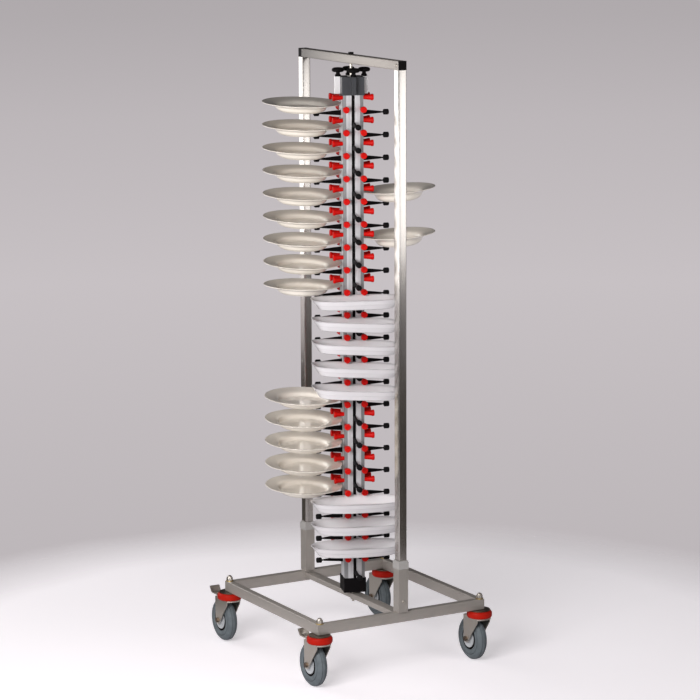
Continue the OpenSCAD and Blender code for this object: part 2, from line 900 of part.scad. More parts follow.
module dish(length, width, power) {
    outer = [for (s = dish_outside)
        dish_ring(length / 2 - s[0], width / 2 - s[0], power, s[1] * dish_h)];
    inner = [for (s = dish_inside)
        dish_ring(length / 2 - s[0], width / 2 - s[0], power, s[1] * dish_h)];
    rings = concat(outer, [for (i = [len(inner) - 1:-1:0]) inner[i]]);
    color(white) dish_shell(rings);
}

// Dishes rest on the arm tips with their rims under the bumpers and their outer side a little up. The roll
// lifts a dish's left end. The first one lies level, because the plate over it leaves no room.
module dishes(k_list, length, width, power, shift, roll) {
    on_side(0) for (k = k_list)
        translate([tip_reach, 0, tip_z(0, k) + tip_d / 2 + face_gap + tip_len / 2 * sin(dish_pitch)])
            rotate([k == dish_levels_upper[0] ? 0 : -roll, -dish_pitch, 0])
                translate([post_out + dish_gap + width / 2 - tip_reach, shift, 0])
                    dish(length, width, power);
}

module dishes_upper() {
    dishes(dish_levels_upper, dish_l, dish_w, dish_power, dish_shift, dish_roll);
}

module dishes_lower() {
    dishes(dish_levels_lower, oval_l, oval_w, oval_power, oval_shift, 0);
}

base_rail_left();
base_rail_right();
base_rail_front();
base_rail_back();
crossbeam();
stubs();
collars();
upright_left();
upright_right();
top_bar();
end_caps();
frame_screws();
castor_bolts();
castor_nuts();
castor_races();
top_pivot_pin();
bottom_pivot_bolt();
thrust_washer();
castor_fork_front_left();
castor_fork_front_right();
castor_fork_back_left();
castor_fork_back_right();
castor_guard_front_left();
castor_guard_front_right();
castor_guard_back_left();
castor_guard_back_right();
wheel_hub_front_left();
wheel_hub_front_right();
wheel_hub_back_left();
wheel_hub_back_right();
wheel_tyre_front_left();
wheel_tyre_front_right();
wheel_tyre_back_left();
wheel_tyre_back_right();
brake_pedal_front_left();
brake_pedal_front_right();
rack_posts();
arm_rails();
top_block();
bottom_block();
top_bush();
clamp_plates();
knob_front();
knob_right();
knob_back();
knob_left();
arms_front();
arms_right();
arms_back();
arms_left();
arm_tips();
bumpers_front_back();
bumpers_sides();
plates_left_upper();
plates_left_lower();
plates_right();
dishes_upper();
dishes_lower();
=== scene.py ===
"""Plate rack trolley: surfaces, finishes and stage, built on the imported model. Lengths are in metres."""
from math import cos, pi, radians, sin, tau

import bmesh
import bpy
import numpy as np
from bpy.props import FloatProperty, FloatVectorProperty, PointerProperty
from bpy.types import Operator, Panel, PropertyGroup
from mathutils import Matrix, Vector


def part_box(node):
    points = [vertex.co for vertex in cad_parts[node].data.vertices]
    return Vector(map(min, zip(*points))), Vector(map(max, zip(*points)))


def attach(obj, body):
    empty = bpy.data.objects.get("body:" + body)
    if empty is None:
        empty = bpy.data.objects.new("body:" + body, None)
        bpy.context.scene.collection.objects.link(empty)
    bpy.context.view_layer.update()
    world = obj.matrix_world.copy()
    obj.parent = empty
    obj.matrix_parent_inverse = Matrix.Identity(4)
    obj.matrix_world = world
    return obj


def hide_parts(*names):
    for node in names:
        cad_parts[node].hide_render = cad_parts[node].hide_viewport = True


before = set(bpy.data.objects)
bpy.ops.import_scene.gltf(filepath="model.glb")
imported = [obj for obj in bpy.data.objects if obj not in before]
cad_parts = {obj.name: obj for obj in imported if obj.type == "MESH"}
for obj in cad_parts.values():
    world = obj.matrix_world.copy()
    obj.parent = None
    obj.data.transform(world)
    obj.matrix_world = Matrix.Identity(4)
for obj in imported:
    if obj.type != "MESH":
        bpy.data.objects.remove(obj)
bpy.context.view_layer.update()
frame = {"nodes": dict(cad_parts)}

bl_info = {
    "name": "Plate rack trolley",
    "version": (1, 0, 0),
    "blender": (4, 5, 0),
    "location": "3D View > Sidebar > Trolley",
    "description": "Builds the surfaces, finishes and stage of a plate rack trolley",
    "category": "Object",
}

CORNERS = ("front_left", "front_right", "back_left", "back_right")
SIDES = ("front", "right", "back", "left")
LEVELS = 21
PITCH = 0.064


def middle(node):
    """Middle of a CAD node's box."""
    low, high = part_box(node)
    return (low + high) / 2


def extent(node):
    """Length, width and height of a CAD node's box."""
    low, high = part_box(node)
    return high - low


def halves(node, order):
    """Half the size of a CAD node's box along each named axis."""
    return [getattr(extent(node), name) / 2 for name in order]


def under(node):
    """The point on the floor under the middle of a CAD node's box."""
    at = middle(node)
    return np.array((at.x, at.y, 0.0))


AXIS = middle("thrust_washer")
POST_FOOT, POST_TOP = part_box("rack_posts")[0].z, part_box("rack_posts")[1].z
FIRST_TIP = POST_TOP - 0.0504
TIP_REACH, TIP_RADIUS, WARE_LIFT = 0.099, 0.008, 0.0083
DISH_EDGE = 0.0345
LEFT_UPPER, LEFT_LOWER, RIGHT_PLATES = range(9), range(13, 18), (4, 6)
ROUNDED_DISHES, OVAL_DISHES = range(8, 13), range(17, 20)
AIM_HEIGHT, AIM_SHIFT = 0.884617729, 0.005916938


# Settings that a user would change

def length(name, description, default):
    """A size in metres."""
    return FloatProperty(name=name, description=description, default=default, min=0.0, unit="LENGTH", precision=4)


def share(name, description, default):
    """A share between 0 and 1."""
    return FloatProperty(name=name, description=description, default=default, min=0.0, max=1.0, subtype="FACTOR")


def angle(name, description, degrees):
    """An angle, given in degrees and kept in radians."""
    return FloatProperty(name=name, description=description, default=radians(degrees), subtype="ANGLE")


def colour(name, description, default):
    """A colour as red, green and blue between 0 and 1."""
    return FloatVectorProperty(name=name, description=description, default=default, size=3, min=0.0, max=1.0,
                               subtype="COLOR")


class FrameSettings(PropertyGroup):
    """Tubes of the base and the portal"""
    corner: length("Tube corner", "Outer corner radius of the square tubes", 0.0022)
    steel: colour("Steel", "Colour of the satin stainless tubes", (0.435, 0.405, 0.375))
    bright: colour("Uprights", "Colour of the brighter stainless uprights", (0.66, 0.63, 0.6))
    # The collars are white plastic; this grey colour paints in the shade that they stand in.
    white: colour("Collars", "Colour of the moulded collars", (0.33, 0.32, 0.31))


class CastorSettings(PropertyGroup):
    """Castors and their wheels"""
    guard: colour("Guard", "Colour of the castors' thread guards", (0.38, 0.008, 0.002))
    tyre: colour("Tyre", "Colour of the rubber tyres", (0.098, 0.118, 0.13))
    hub: colour("Hub", "Colour of the wheels' moulded hubs", (0.42, 0.44, 0.46))
    zinc: colour("Zinc", "Colour of the plated steel", (0.54, 0.52, 0.5))


class ColumnSettings(PropertyGroup):
    """The turning column"""
    angle: angle("Column angle", "Angle of the column about its axis", 71.5)
    half: length("Half column", "Half the width of the square column", 0.03)
    aluminium: colour("Posts", "Colour of the anodised posts", (0.57, 0.57, 0.59))
    knob: length("Knob radius", "Radius of a clamp knob's cap", 0.0175)
    black: colour("Black plastic", "Colour of the arms and knobs", (0.005, 0.0042, 0.0046))


class ArmSettings(PropertyGroup):
    """Arms, tips and bumpers"""
    width: length("Arm width", "Width of an arm's blade", 0.007)
    tip: length("Tip radius", "Radius of an arm's soft tip", 0.008)
    spread: length("Bumper spread", "Distance between the two bumpers of a level", 0.049)
    lift: length("Bumper height", "Height of the bumpers above their level's tip", 0.0443)
    red: colour("Bumpers", "Colour of the red bumpers", (0.54, 0.005, 0.003))
    rubber: colour("Tips", "Colour of the soft tips", (0.005, 0.0045, 0.005))


class CrockerySettings(PropertyGroup):
    """Plates and dishes"""
    plate: length("Plate radius", "Radius of the plates on the left stack", 0.11)
    small: length("Small plate radius", "Radius of the plates on the right stack", 0.1045)
    dish: length("Dish height", "Height of the white dishes", 0.029)
    lean: angle("Dish lean", "How far the dishes' outer side is lifted", 1.9)
    roll: angle("Dish roll", "How far the left end of the rounded dishes is lifted", 3.5)
    plate_roll: angle("Plate roll", "How far the far side of the left stack's plates is lifted", 2.7)
    cream: colour("Plates", "Colour of the plates' glaze", (0.8, 0.75, 0.675))
    white: colour("Dishes", "Colour of the dishes' glaze", (0.72, 0.705, 0.725))


class StageSettings(PropertyGroup):
    """Floor, backdrop, lights and camera"""
    floor: colour("Floor", "Colour of the floor near the trolley", (0.86, 0.83, 0.86))
    backdrop: colour("Backdrop", "Colour of the backdrop at its middle", (0.545, 0.508, 0.525))
    pool: length("Floor radius", "Distance at which the floor fades into the backdrop", 1.25)
    key: FloatProperty(name="Key light", description="Power of the main light", default=92.0, min=0.0)
    sides: FloatProperty(name="Side lights", description="Power of the soft boxes that the tubes mirror",
                         default=11.0, min=0.0)
    top: FloatProperty(name="Top light", description="Power of the light overhead", default=0.5, min=0.0)
    ambient: share("Ambient", "Strength of the light from all round", 0.55)
    azimuth: angle("Camera azimuth", "Angle of the camera about the trolley", 60.2014)
    elevation: angle("Camera elevation", "Angle of the camera above level", 10.3148)
    roll: angle("Camera roll", "Turn of the camera about its view", -0.2369)
    distance: length("Camera distance", "Distance of the camera from the point it turns about", 8.20414)
    lens: FloatProperty(name="Lens", description="Focal length for a 36 mm wide picture", default=149.112, min=1.0)


class TrolleySettings(PropertyGroup):
    """All settings of the trolley"""
    frame: PointerProperty(type=FrameSettings)
    castors: PointerProperty(type=CastorSettings)
    column: PointerProperty(type=ColumnSettings)
    arms: PointerProperty(type=ArmSettings)
    crockery: PointerProperty(type=CrockerySettings)
    stage: PointerProperty(type=StageSettings)


# Surfaces, each worked out from two parameters

def rounded(corners, cut, steps=3, closed=True):
    """An outline with curved corners. Each corner P becomes the curve (1-t)^2 A + 2t(1-t) P + t^2 B, where A and B lie
    on its two edges at the distance cut from P, or at the edges' middles where these are nearer."""
    p = np.asarray(corners, float)
    before, after = np.roll(p, 1, 0), np.roll(p, -1, 0)
    if not closed:
        before[0], after[-1] = p[0], p[-1]
    cut = np.broadcast_to(cut, len(p)).astype(float)[:, None]

    def toward(q):
        """Points on the edges to q, at the distance cut or halfway."""
        step = q - p
        run = np.linalg.norm(step, axis=1, keepdims=True)
        return p + step * np.minimum(cut, 0.5 * run) / np.maximum(run, 1e-9)

    t = np.linspace(0, 1, steps + 1)[:, None, None]
    curve = (1 - t) ** 2 * toward(before) + 2 * t * (1 - t) * p + t * t * toward(after)
    return curve.transpose(1, 0, 2).reshape(-1, p.shape[1])


def oblong(half_x, half_y, cut, steps=3):
    """Rectangle of the given half sizes with curved corners."""
    return rounded([(-half_x, -half_y), (half_x, -half_y), (half_x, half_y), (-half_x, half_y)], cut, steps)


def turned(profile, segments, along="z"):
    """A profile of (radius r, height h) carried round an axis: r cos a, r sin a and h, with h along the named axis."""
    r, h = np.asarray(profile, float).T
    a = tau * np.arange(segments) / segments
    across, up = np.outer(r, np.cos(a)), np.outer(r, np.sin(a))
    h = np.repeat(h[:, None], segments, 1)
    order = {"z": (across, up, h), "y": (up, h, across), "x": (h, across, up)}[along]
    return np.stack(order, -1)


def carried(outline, stations):
    """An outline of (u, v) carried along a straight path. Each station is (distance, grow): the outline lies at that
    distance, with every point moved in from its place towards the outline's middle by grow."""
    outline = np.asarray(outline, float)
    centre = (outline.max(0) + outline.min(0)) / 2
    away = outline - centre
    away = away / np.maximum(np.abs(away).max(0), 1e-9)
    rows = [np.column_stack([outline - away * inset, np.full(len(outline), d)]) for d, inset in stations]
    return np.array(rows)


def stations(start, end, edge, steps=2):
    """Distances and insets of a straight piece whose two end edges are rounded: a quarter circle of radius edge."""
    a = np.linspace(0, pi / 2, steps + 1)
    near = np.column_stack([start + edge * (1 - np.sin(a)), edge * (1 - np.cos(a))])[::-1]
    near = near[np.argsort(near[:, 0])]
    far = np.column_stack([start + end - near[::-1, 0], near[::-1, 1]])
    return np.vstack([near, far])


def axes(points, order):
    """Puts (u, v, d) points on the named axes, such as 'yzx' for u on Y, v on Z and d on X."""
    result = np.empty_like(points)
    for i, name in enumerate(order):
        result[..., "xyz".index(name)] = points[..., i]
    return result


def to_side(points, side, angle):
    """Turns (outward, sideways, up) points about the column's axis to one of its four sides."""
    a = angle + (side - 1) * pi / 2
    out, across, up = np.moveaxis(np.asarray(points, float), -1, 0)
    return np.stack([AXIS.x + out * cos(a) - across * sin(a), AXIS.y + out * sin(a) + across * cos(a), up], -1)


def leaning(points, side, level, lean, roll=0.0):
    """Turns (outward, sideways, up) points about the middle of an arm tip's top, where ware rests: first by the roll
    about the outward axis, which lifts the left end, then by the lean, which lifts the outer side."""
    out, across, up = np.moveaxis(np.asarray(points, float), -1, 0)
    across, up = across * cos(roll) + up * sin(roll), up * cos(roll) - across * sin(roll)
    out, up = out * cos(lean) - up * sin(lean), out * sin(lean) + up * cos(lean)
    return np.stack([out + TIP_REACH, across, up + tip_height(side, level) + WARE_LIFT + TIP_RADIUS * sin(lean)],
                    -1)


def tip_height(side, level):
    """Height of an arm's tip. The front and back stacks lie half a pitch lower."""
    return FIRST_TIP - (PITCH / 2 if side % 2 == 0 else 0) - level * PITCH


def at_level(points, side, level, angle):
    """Lifts (outward, sideways, up) points by an arm tip's height and turns them to its side."""
    return to_side(points + np.array((0.0, 0.0, tip_height(side, level))), side, angle)


class Surface:
    """Gathers grids of points into one mesh. Every grid is closed round its second parameter."""

    def __init__(self):
        self.points, self.faces, self.slots, self.values, self.count = [], [], [], [], 0

    def add(self, rows, caps=False, ring=False, slot=0, value=0.0):
        """Joins each point to its neighbour and each row to the next. Caps close the ends; ring joins them. A part
        value goes with all points, with each point of a row, with each row, or with each point."""
        rows = np.asarray(rows, float)
        n, m = rows.shape[:2]
        index = self.count + np.arange(n * m).reshape(n, m)
        loop = np.vstack([index, index[:1]]) if ring else index
        turn = np.roll(loop, -1, axis=1)
        quads = np.stack([loop[:-1], turn[:-1], turn[1:], loop[1:]], -1).reshape(-1, 4).tolist()
        if caps:
            quads += [index[0, ::-1].tolist(), index[-1].tolist()]
        self.faces += quads
        self.slots += [slot] * len(quads)
        self.points.append(rows.reshape(-1, 3))
        self.values.append(np.broadcast_to(np.asarray(value, float), (n, m)).ravel())
        self.count += n * m
        return self

    def mesh(self, name):
        """A mesh of all the grids."""
        mesh = bpy.data.meshes.new(name)
        mesh.from_pydata(np.vstack(self.points).tolist(), [], self.faces)
        return mesh

    def piece(self, name, body, finishes, replaces, slot, sharp=32):
        """Makes the piece, with doubled points merged and faces outwards."""
        mesh = self.mesh(name)
        mesh.polygons.foreach_set("material_index", np.array(self.slots, np.int32))
        mesh.attributes.new("part", "FLOAT", "POINT").data.foreach_set("value", np.hstack(self.values))
        welded(mesh, lambda shape: bmesh.ops.recalc_face_normals(shape, faces=shape.faces))
        mesh.validate()
        return placed(name, mesh, body, finishes, replaces, sharp)


def welded(mesh, then=None, distance=4e-6):
    """Merges a mesh's doubled points, then does one more thing to it."""
    shape = bmesh.new()
    shape.from_mesh(mesh)
    bmesh.ops.remove_doubles(shape, verts=shape.verts, dist=distance)
    if then:
        then(shape)
    shape.to_mesh(mesh)
    shape.free()


def linked(name, data):
    """A new object in the scene."""
    made = bpy.data.objects.new(name, data)
    bpy.context.scene.collection.objects.link(made)
    return made


def placed(name, mesh, body, finishes, replaces, sharp):
    """A piece: smooth but for its sharp edges, with its finishes, the node it replaces and its body."""
    mesh.shade_smooth()
    mesh.set_sharp_from_angle(angle=radians(sharp))
    for i, made in enumerate(finishes.split()):
        if i < len(mesh.materials):
            mesh.materials[i] = FINISHES[made]
        else:
            mesh.materials.append(FINISHES[made])
    piece = linked(name, mesh)
    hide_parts(replaces)
    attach(piece, body)
    return piece


def softened(node, body, edge, finishes, segments=2):
    """The CAD node's own surface, merged, with its edges rounded by a Bevel modifier."""
    mesh = frame["nodes"][node].data.copy()
    welded(mesh, lambda shape: bmesh.ops.dissolve_limit(shape, angle_limit=radians(1), verts=shape.verts,
                                                        edges=shape.edges, delimit={"MATERIAL"}))
    piece = placed(node + "_finished", mesh, body, finishes, node, 32)
    bevel = piece.modifiers.new("Rounded edges", "BEVEL")
    bevel.width, bevel.segments = edge, segments
    bevel.limit_method, bevel.angle_limit = "ANGLE", radians(40)
    bevel.harden_normals = True
    return piece


# Finishes

def maths(operation, swapped=False):
    """A method that adds a Math node of one operation."""
    def method(self, other):
        terms = (other, self) if swapped else (self, other)
        return self.paint.node("ShaderNodeMath", {"operation": operation}, dict(enumerate(terms)))
    return method


class Level:
    """A node's output on which sums and products can be written as expressions."""
    __add__ = __radd__ = maths("ADD")
    __mul__ = __rmul__ = maths("MULTIPLY")
    __sub__, __rsub__ = maths("SUBTRACT"), maths("SUBTRACT", True)
    __gt__, __pow__ = maths("GREATER_THAN"), maths("POWER")

    def __init__(self, paint, socket):
        self.paint, self.socket = paint, socket


class Paint:
    """Builds one node tree."""

    def __init__(self, tree):
        self.tree = tree
        tree.nodes.clear()

    def node(self, kind, settings=None, values=None, output=0):
        """Adds a node: its settings first, then the values or links of its sockets. Gives back one output."""
        node = self.tree.nodes.new(kind)
        for key, setting in (settings or {}).items():
            if key == "stops":
                ramp = node.color_ramp
                while len(ramp.elements) < len(setting):
                    ramp.elements.new(0.5)
                for element, (place, shade) in zip(ramp.elements, setting):
                    element.position, element.color = place, (*shade, 1.0)
            else:
                setattr(node, key, setting)
        for key, value in (values or {}).items():
            if isinstance(value, Level):
                self.tree.links.new(value.socket, node.inputs[key])
            elif isinstance(value, (tuple, list)) and len(value) == 3 and node.inputs[key].type == "RGBA":
                node.inputs[key].default_value = (*value, 1.0)
            else:
                node.inputs[key].default_value = value
        return Level(self, node.outputs[output]) if node.outputs else None

    def place(self):
        """The piece's own coordinates."""
        return self.node("ShaderNodeTexCoord", output="Object")

    def split(self, vector):
        """A vector's three parts."""
        return [self.node("ShaderNodeSeparateXYZ", values={0: vector}, output=i) for i in range(3)]

    def noise(self, scale, detail=2.0, stretch=(1, 1, 1), rough=0.5):
        """Noise in the object's own coordinates, drawn out along an axis by a small stretch value there."""
        place = self.node("ShaderNodeMapping", values={"Vector": self.place(), "Scale": stretch})
        return self.node("ShaderNodeTexNoise", values={"Vector": place, "Scale": scale, "Detail": detail,
                                                       "Roughness": rough})

    def ramp(self, level, low, high, start=0.0, end=1.0):
        """Runs from start to end as the level runs from low to high."""
        return self.node("ShaderNodeMapRange", {"clamp": True},
                         {"Value": level, "From Min": low, "From Max": high, "To Min": start, "To Max": end})

    def mix(self, factor, first, second):
        """A colour from the first at 0 to the second at 1."""
        return self.node("ShaderNodeMix", {"data_type": "RGBA"}, {0: factor, 6: first, 7: second}, output=2)

    def bump(self, height, strength, distance):
        """The normal, tilted by the slope of a height."""
        return self.node("ShaderNodeBump", values={"Height": height, "Strength": strength, "Distance": distance})

    def part(self):
        """The value that a surface's points carry."""
        return self.node("ShaderNodeAttribute", {"attribute_name": "part"}, output="Fac")

    def ray(self, kind):
        """1 where the ray is of the kind, such as Camera."""
        return self.node("ShaderNodeLightPath", output=f"Is {kind} Ray")

    def blend(self, factor, first, second):
        """A shader from the first at 0 to the second at 1."""
        return self.node("ShaderNodeMixShader", values={0: factor, 1: first, 2: second})

    def glow(self, shade, strength=1.0):
        """Light of one colour from far all round."""
        return self.node("ShaderNodeBackground", values={"Color": shade, "Strength": strength})

    def surface(self, **values):
        """The main shader; names are its sockets with underscores for blanks."""
        sockets = {key.replace("_", " "): value for key, value in values.items()}
        shader = self.node("ShaderNodeBsdfPrincipled", values=sockets)
        self.node("ShaderNodeOutputMaterial", values={"Surface": shader})


def finish(name):
    """A new material and the builder of its nodes."""
    material = bpy.data.materials.new(name)
    material.use_nodes = True
    return material, Paint(material.node_tree)


def scaled(shade, factor):
    """A colour made lighter or darker."""
    return tuple(min(1.0, channel * factor) for channel in shade)


def brushed_steel(name, shade, along, rough, metal=1.0, fade=0.0):
    """Stainless tube: fine lines along the tube, broad faint polish marks and a few handling smears. With a fade the
    tone is painted darker toward -X, as painted shade."""
    material, paint = finish(name)
    stretch = tuple(0.02 if axis == along else 1.0 for axis in "xyz")
    lines = paint.noise(1400.0, 2.0, stretch)
    clouds = paint.noise(5.0, 2.0)
    smears = paint.ramp(paint.noise(24.0, 3.0, rough=0.6), 0.56, 0.74)
    tone = paint.ramp(lines, 0.3, 0.7) * 0.8 + clouds * 0.2
    polish = paint.mix(tone, scaled(shade, 0.92), scaled(shade, 1.06))
    # Painted shade: with a fade the tone darkens toward -X.
    if fade:
        painted_shade_tone = paint.mix(tone, scaled(shade, 0.92 - fade), scaled(shade, 1.06 - fade))
        polish = paint.mix(paint.ramp(paint.split(paint.place())[0], -0.27, 0.25), painted_shade_tone, polish)
    paint.surface(Base_Color=polish, Metallic=metal,
                  Roughness=rough + clouds * 0.04 + lines * 0.05 + smears * 0.02,
                  Normal=paint.bump(lines, 0.08, 0.0002))
    return material


def zinc_plate(name, shade):
    """Zinc plate: a faint grain of crystals, slightly yellow in patches, duller where it is handled."""
    material, paint = finish(name)
    grain = paint.node("ShaderNodeTexVoronoi", values={"Vector": paint.place(), "Scale": 420.0}, output="Color")
    grain = paint.node("ShaderNodeSeparateColor", values={0: grain})
    patches = paint.noise(60.0, 3.0)
    warm = (shade[0] * 1.04, shade[1] * 0.98, shade[2] * 0.86)
    paint.surface(Base_Color=paint.mix(patches * 0.7 + grain * 0.3, scaled(shade, 1.0), warm), Metallic=1.0,
                  Roughness=0.3 + grain * 0.1 + patches * 0.12,
                  Normal=paint.bump(paint.noise(900.0, 2.0), 0.12, 0.0002))
    return material


def moulded(name, shade, rough, grain=0.25, dust=0.06, shine=0.5):
    """Moulded plastic: a fine eroded grain, soft flow clouds and a little dust on faces that look up."""
    material, paint = finish(name)
    fine = paint.noise(1500.0, 2.0)
    clouds = paint.noise(30.0, 2.0)
    facing = paint.split(paint.node("ShaderNodeNewGeometry", output="Normal"))[2]
    settled = paint.ramp(facing, 0.3, 1.0, 0.0, dust) * paint.ramp(paint.noise(120.0, 4.0), 0.35, 0.7)
    tone = paint.mix(clouds, scaled(shade, 0.9), scaled(shade, 1.1))
    paint.surface(Base_Color=paint.mix(settled, tone, (0.42, 0.41, 0.4)), Specular_IOR_Level=shine,
                  Roughness=rough + fine * 0.1 + settled * 0.8, Normal=paint.bump(fine, grain, 0.0002))
    return material


def anodised(name, shade):
    """Anodised extrusion: matt, with die lines along its length, slow changes of tone and a greyer milled band where
    the part value is 1."""
    material, paint = finish(name)
    lines = paint.noise(1700.0, 2.0, (1, 1, 0.012))
    slow = paint.noise(5.0, 2.0)
    land = paint.mix(paint.ramp(lines, 0.35, 0.65), scaled(shade, 0.93), scaled(shade, 1.05))
    band = paint.mix(paint.ramp(lines, 0.35, 0.65), scaled(shade, 0.34), scaled(shade, 0.46))
    paint.surface(Base_Color=paint.mix(paint.part(), land, band), Metallic=0.25,
                  Roughness=0.38 + slow * 0.06, Normal=paint.bump(lines, 0.1, 0.0002))
    return material


def glazed(name, shade, bare):
    """Glazed ware: an even clear glaze over a slightly cloudy body, thinner at the edges that the part value marks,
    with the unglazed foot ring where it is 1."""
    material, paint = finish(name)
    part = paint.part()
    foot = part > 0.9
    cloud = paint.noise(18.0, 3.0)
    specks = paint.ramp(paint.noise(700.0, 1.0), 0.74, 0.8, 0.0, 0.1)
    body = paint.mix(cloud, scaled(shade, 0.97), scaled(shade, 1.03))
    thin = paint.mix(part * 0.5, body, bare)
    paint.surface(Base_Color=paint.mix(specks, paint.mix(foot, thin, bare), scaled(shade, 0.55)),
                  Roughness=paint.ramp(foot, 0.0, 1.0, 0.16, 0.75) + cloud * 0.05,
                  Coat_Weight=(1 - foot) * 0.35, Coat_Roughness=0.06,
                  Normal=paint.bump(paint.noise(60.0, 1.0), 0.02, 0.001))
    return material


def rubber(name, shade, rough, shine=0.5):
    """Rubber: a soft matt bloom in patches over a fine pitted surface, with painted shade where the part value is
    high.
    """
    material, paint = finish(name)
    bloom = paint.noise(70.0, 4.0)
    pits = paint.noise(1100.0, 2.0)
    tone = paint.mix(paint.ramp(bloom, 0.35, 0.7), scaled(shade, 0.88), scaled(shade, 1.18))
    # Painted shade: the tone darkens toward a quarter of its colour by the part value.
    paint.surface(Base_Color=paint.mix(paint.part() * 0.8, tone, scaled(shade, 0.25)),
                  Specular_IOR_Level=shine, Roughness=rough + bloom * 0.12, Normal=paint.bump(pits, 0.22, 0.0002))
    return material


def make_finishes(settings):
    """All finishes, by a maker's name."""
    tube, castors, column = settings.frame, settings.castors, settings.column
    arms, ware = settings.arms, settings.crockery
    return {
        **{"steel_" + axis: brushed_steel("Satin steel along " + axis, tube.steel, axis, 0.42, 0.6) for axis in "xyz"},
        # The top bar's fade paints shade on it, darker toward its -X end.
        "bar": brushed_steel("Satin steel of the top bar", scaled(tube.steel, 1.05), "x", 0.42, 0.6, 0.74),
        "bright": brushed_steel("Bright steel", tube.bright, "z", 0.2),
        "clamp": brushed_steel("Ground steel", (0.86, 0.85, 0.86), "x", 0.45, 0.35),
        "zinc": zinc_plate("Zinc plate", castors.zinc),
        "brass": zinc_plate("Yellow zinc plate", (0.62, 0.49, 0.22)),
        "axle": zinc_plate("Browned steel", (0.13, 0.1, 0.08)),
        # White moulding of the collars and the top bush, its colour darkened as painted shade.
        "white": moulded("White moulding", tube.white, 0.42, 0.2, dust=0.0),
        "black": moulded("Black moulding", column.black, 0.46, 0.3, dust=0.0, shine=0.05),
        "block": moulded("Grey black moulding", (0.04, 0.042, 0.048), 0.38, 0.25),
        "guard": moulded("Orange red moulding", castors.guard, 0.42, 0.2, dust=0.01, shine=0.12),
        "red": moulded("Red bumper", arms.red, 0.4, 0.15, dust=0.0, shine=0.12),
        "hub": moulded("Grey hub moulding", castors.hub, 0.45, 0.3),
        "tyre": rubber("Grey tyre", castors.tyre, 0.62),
        "tip": rubber("Black rubber", arms.rubber, 0.62, 0.09),
        "post": anodised("Anodised aluminium", column.aluminium),
        "cream": glazed("Cream glaze", ware.cream, (0.6, 0.54, 0.44)),
        "dish": glazed("White glaze", ware.white, (0.62, 0.6, 0.56)),
    }


FINISHES = {}
NODE_FINISH = {
    # The castor races get the dark browned finish as painted shade, standing for the shadow gap above the guards.
    "castor_races": "axle", "top_bush": "white",
    **dict.fromkeys(("castor_bolts", "bottom_pivot_bolt", "thrust_washer", "top_pivot_pin"), "zinc"),
}


# Pieces

class TROLLEY_OT_frame(Operator):
    """Square tubes of the base and the portal, with the stubs, collars, caps and screws"""
    bl_idname = "trolley.frame"
    bl_label = "Frame"

    def execute(self, context):
        s = context.scene.trolley.frame
        for node, along in (("base_rail_front", "x"), ("base_rail_back", "x"), ("base_rail_left", "y"),
                            ("base_rail_right", "y")):
            self.mitred_rail(node, along, s.corner)
        self.straight("crossbeam", "x", 0.0015, "steel_x", "satin_steel")
        self.straight("top_bar", "x", s.corner, "bar", "satin_steel")
        for node in ("upright_left", "upright_right"):
            self.straight(node, "z", s.corner, "bright", "bright_steel")
        softened("stubs", "base", 0.0006, "steel_z")
        softened("collars", "base", 0.0008, "white")
        softened("end_caps", "base", 0.0012, "black")
        self.screws()
        return {"FINISHED"}

    def mitred_rail(self, node, along, corner):
        """A rounded rectangle carried along the rail. Its ends are cut at 45 degrees: the end moves in by the
        distance of each point from the outer face."""
        flat = "y" if along == "x" else "x"
        centre = middle(node)
        width, height, reach = halves(node, flat + "z" + along)
        outline = oblong(width, height, corner)
        outer = -1.0 if getattr(centre, flat) < getattr(AXIS, flat) else 1.0
        inset = width - outer * outline[:, 0]
        rows = [np.column_stack([outline, end * (reach - inset)]) for end in (-1.0, 1.0)]
        points = axes(np.array(rows), flat + "z" + along) + np.array(centre)
        Surface().add(points, caps=True).piece(node + "_tube", "base", "steel_" + along, node, "satin_steel")

    def straight(self, node, along, corner, made, slot):
        """A rounded rectangle carried along the node's box, with its end edges rounded."""
        order = "xyz".replace(along, "") + along
        width, height, reach = halves(node, order)
        rows = carried(oblong(width, height, corner), stations(-reach, reach, 0.0003))
        points = axes(rows, order) + np.array(middle(node))
        Surface().add(points, caps=True).piece(node + "_tube", "base", made, node, slot)

    def screws(self):
        """Pan head: a dome of radius r whose height falls as r^4, with a cross sunk where either of the point's two
        coordinates across the head is small."""
        surface = Surface()
        r = np.linspace(0.0, 1.0, 13)[:, None]
        a = tau * np.arange(48)[None, :] / 48
        head, height = 0.0045, 0.0025
        x, y = r * np.cos(a), r * np.sin(a)
        arm = np.minimum(np.abs(x), np.abs(y))
        sunk = np.clip((0.17 - arm) / 0.05, 0, 1) * np.clip((0.62 - r) / 0.08, 0, 1)
        z = height * (1 - 0.45 * r ** 4) - 0.0012 * sunk
        dome = np.stack([head * x, head * y, z], -1)
        skirt = np.stack([head * x[-1], head * y[-1], np.zeros(48)], -1)[None]
        head_rows = np.vstack([dome, skirt])
        stub_x = extent("stubs").x / 2
        stub_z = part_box("stubs")[0].z + 0.03
        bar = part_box("top_bar")
        for sign in (-1.0, 1.0):
            surface.add(np.stack([sign * (stub_x + head_rows[..., 2]) + AXIS.x, head_rows[..., 0],
                                  stub_z + head_rows[..., 1]], -1))
        surface.add(np.stack([middle("upright_right").x + head_rows[..., 0], bar[0].y - head_rows[..., 2],
                              (bar[0].z + bar[1].z) / 2 + head_rows[..., 1]], -1))
        surface.piece("frame_screw_heads", "base", "zinc", "frame_screws", "zinc")


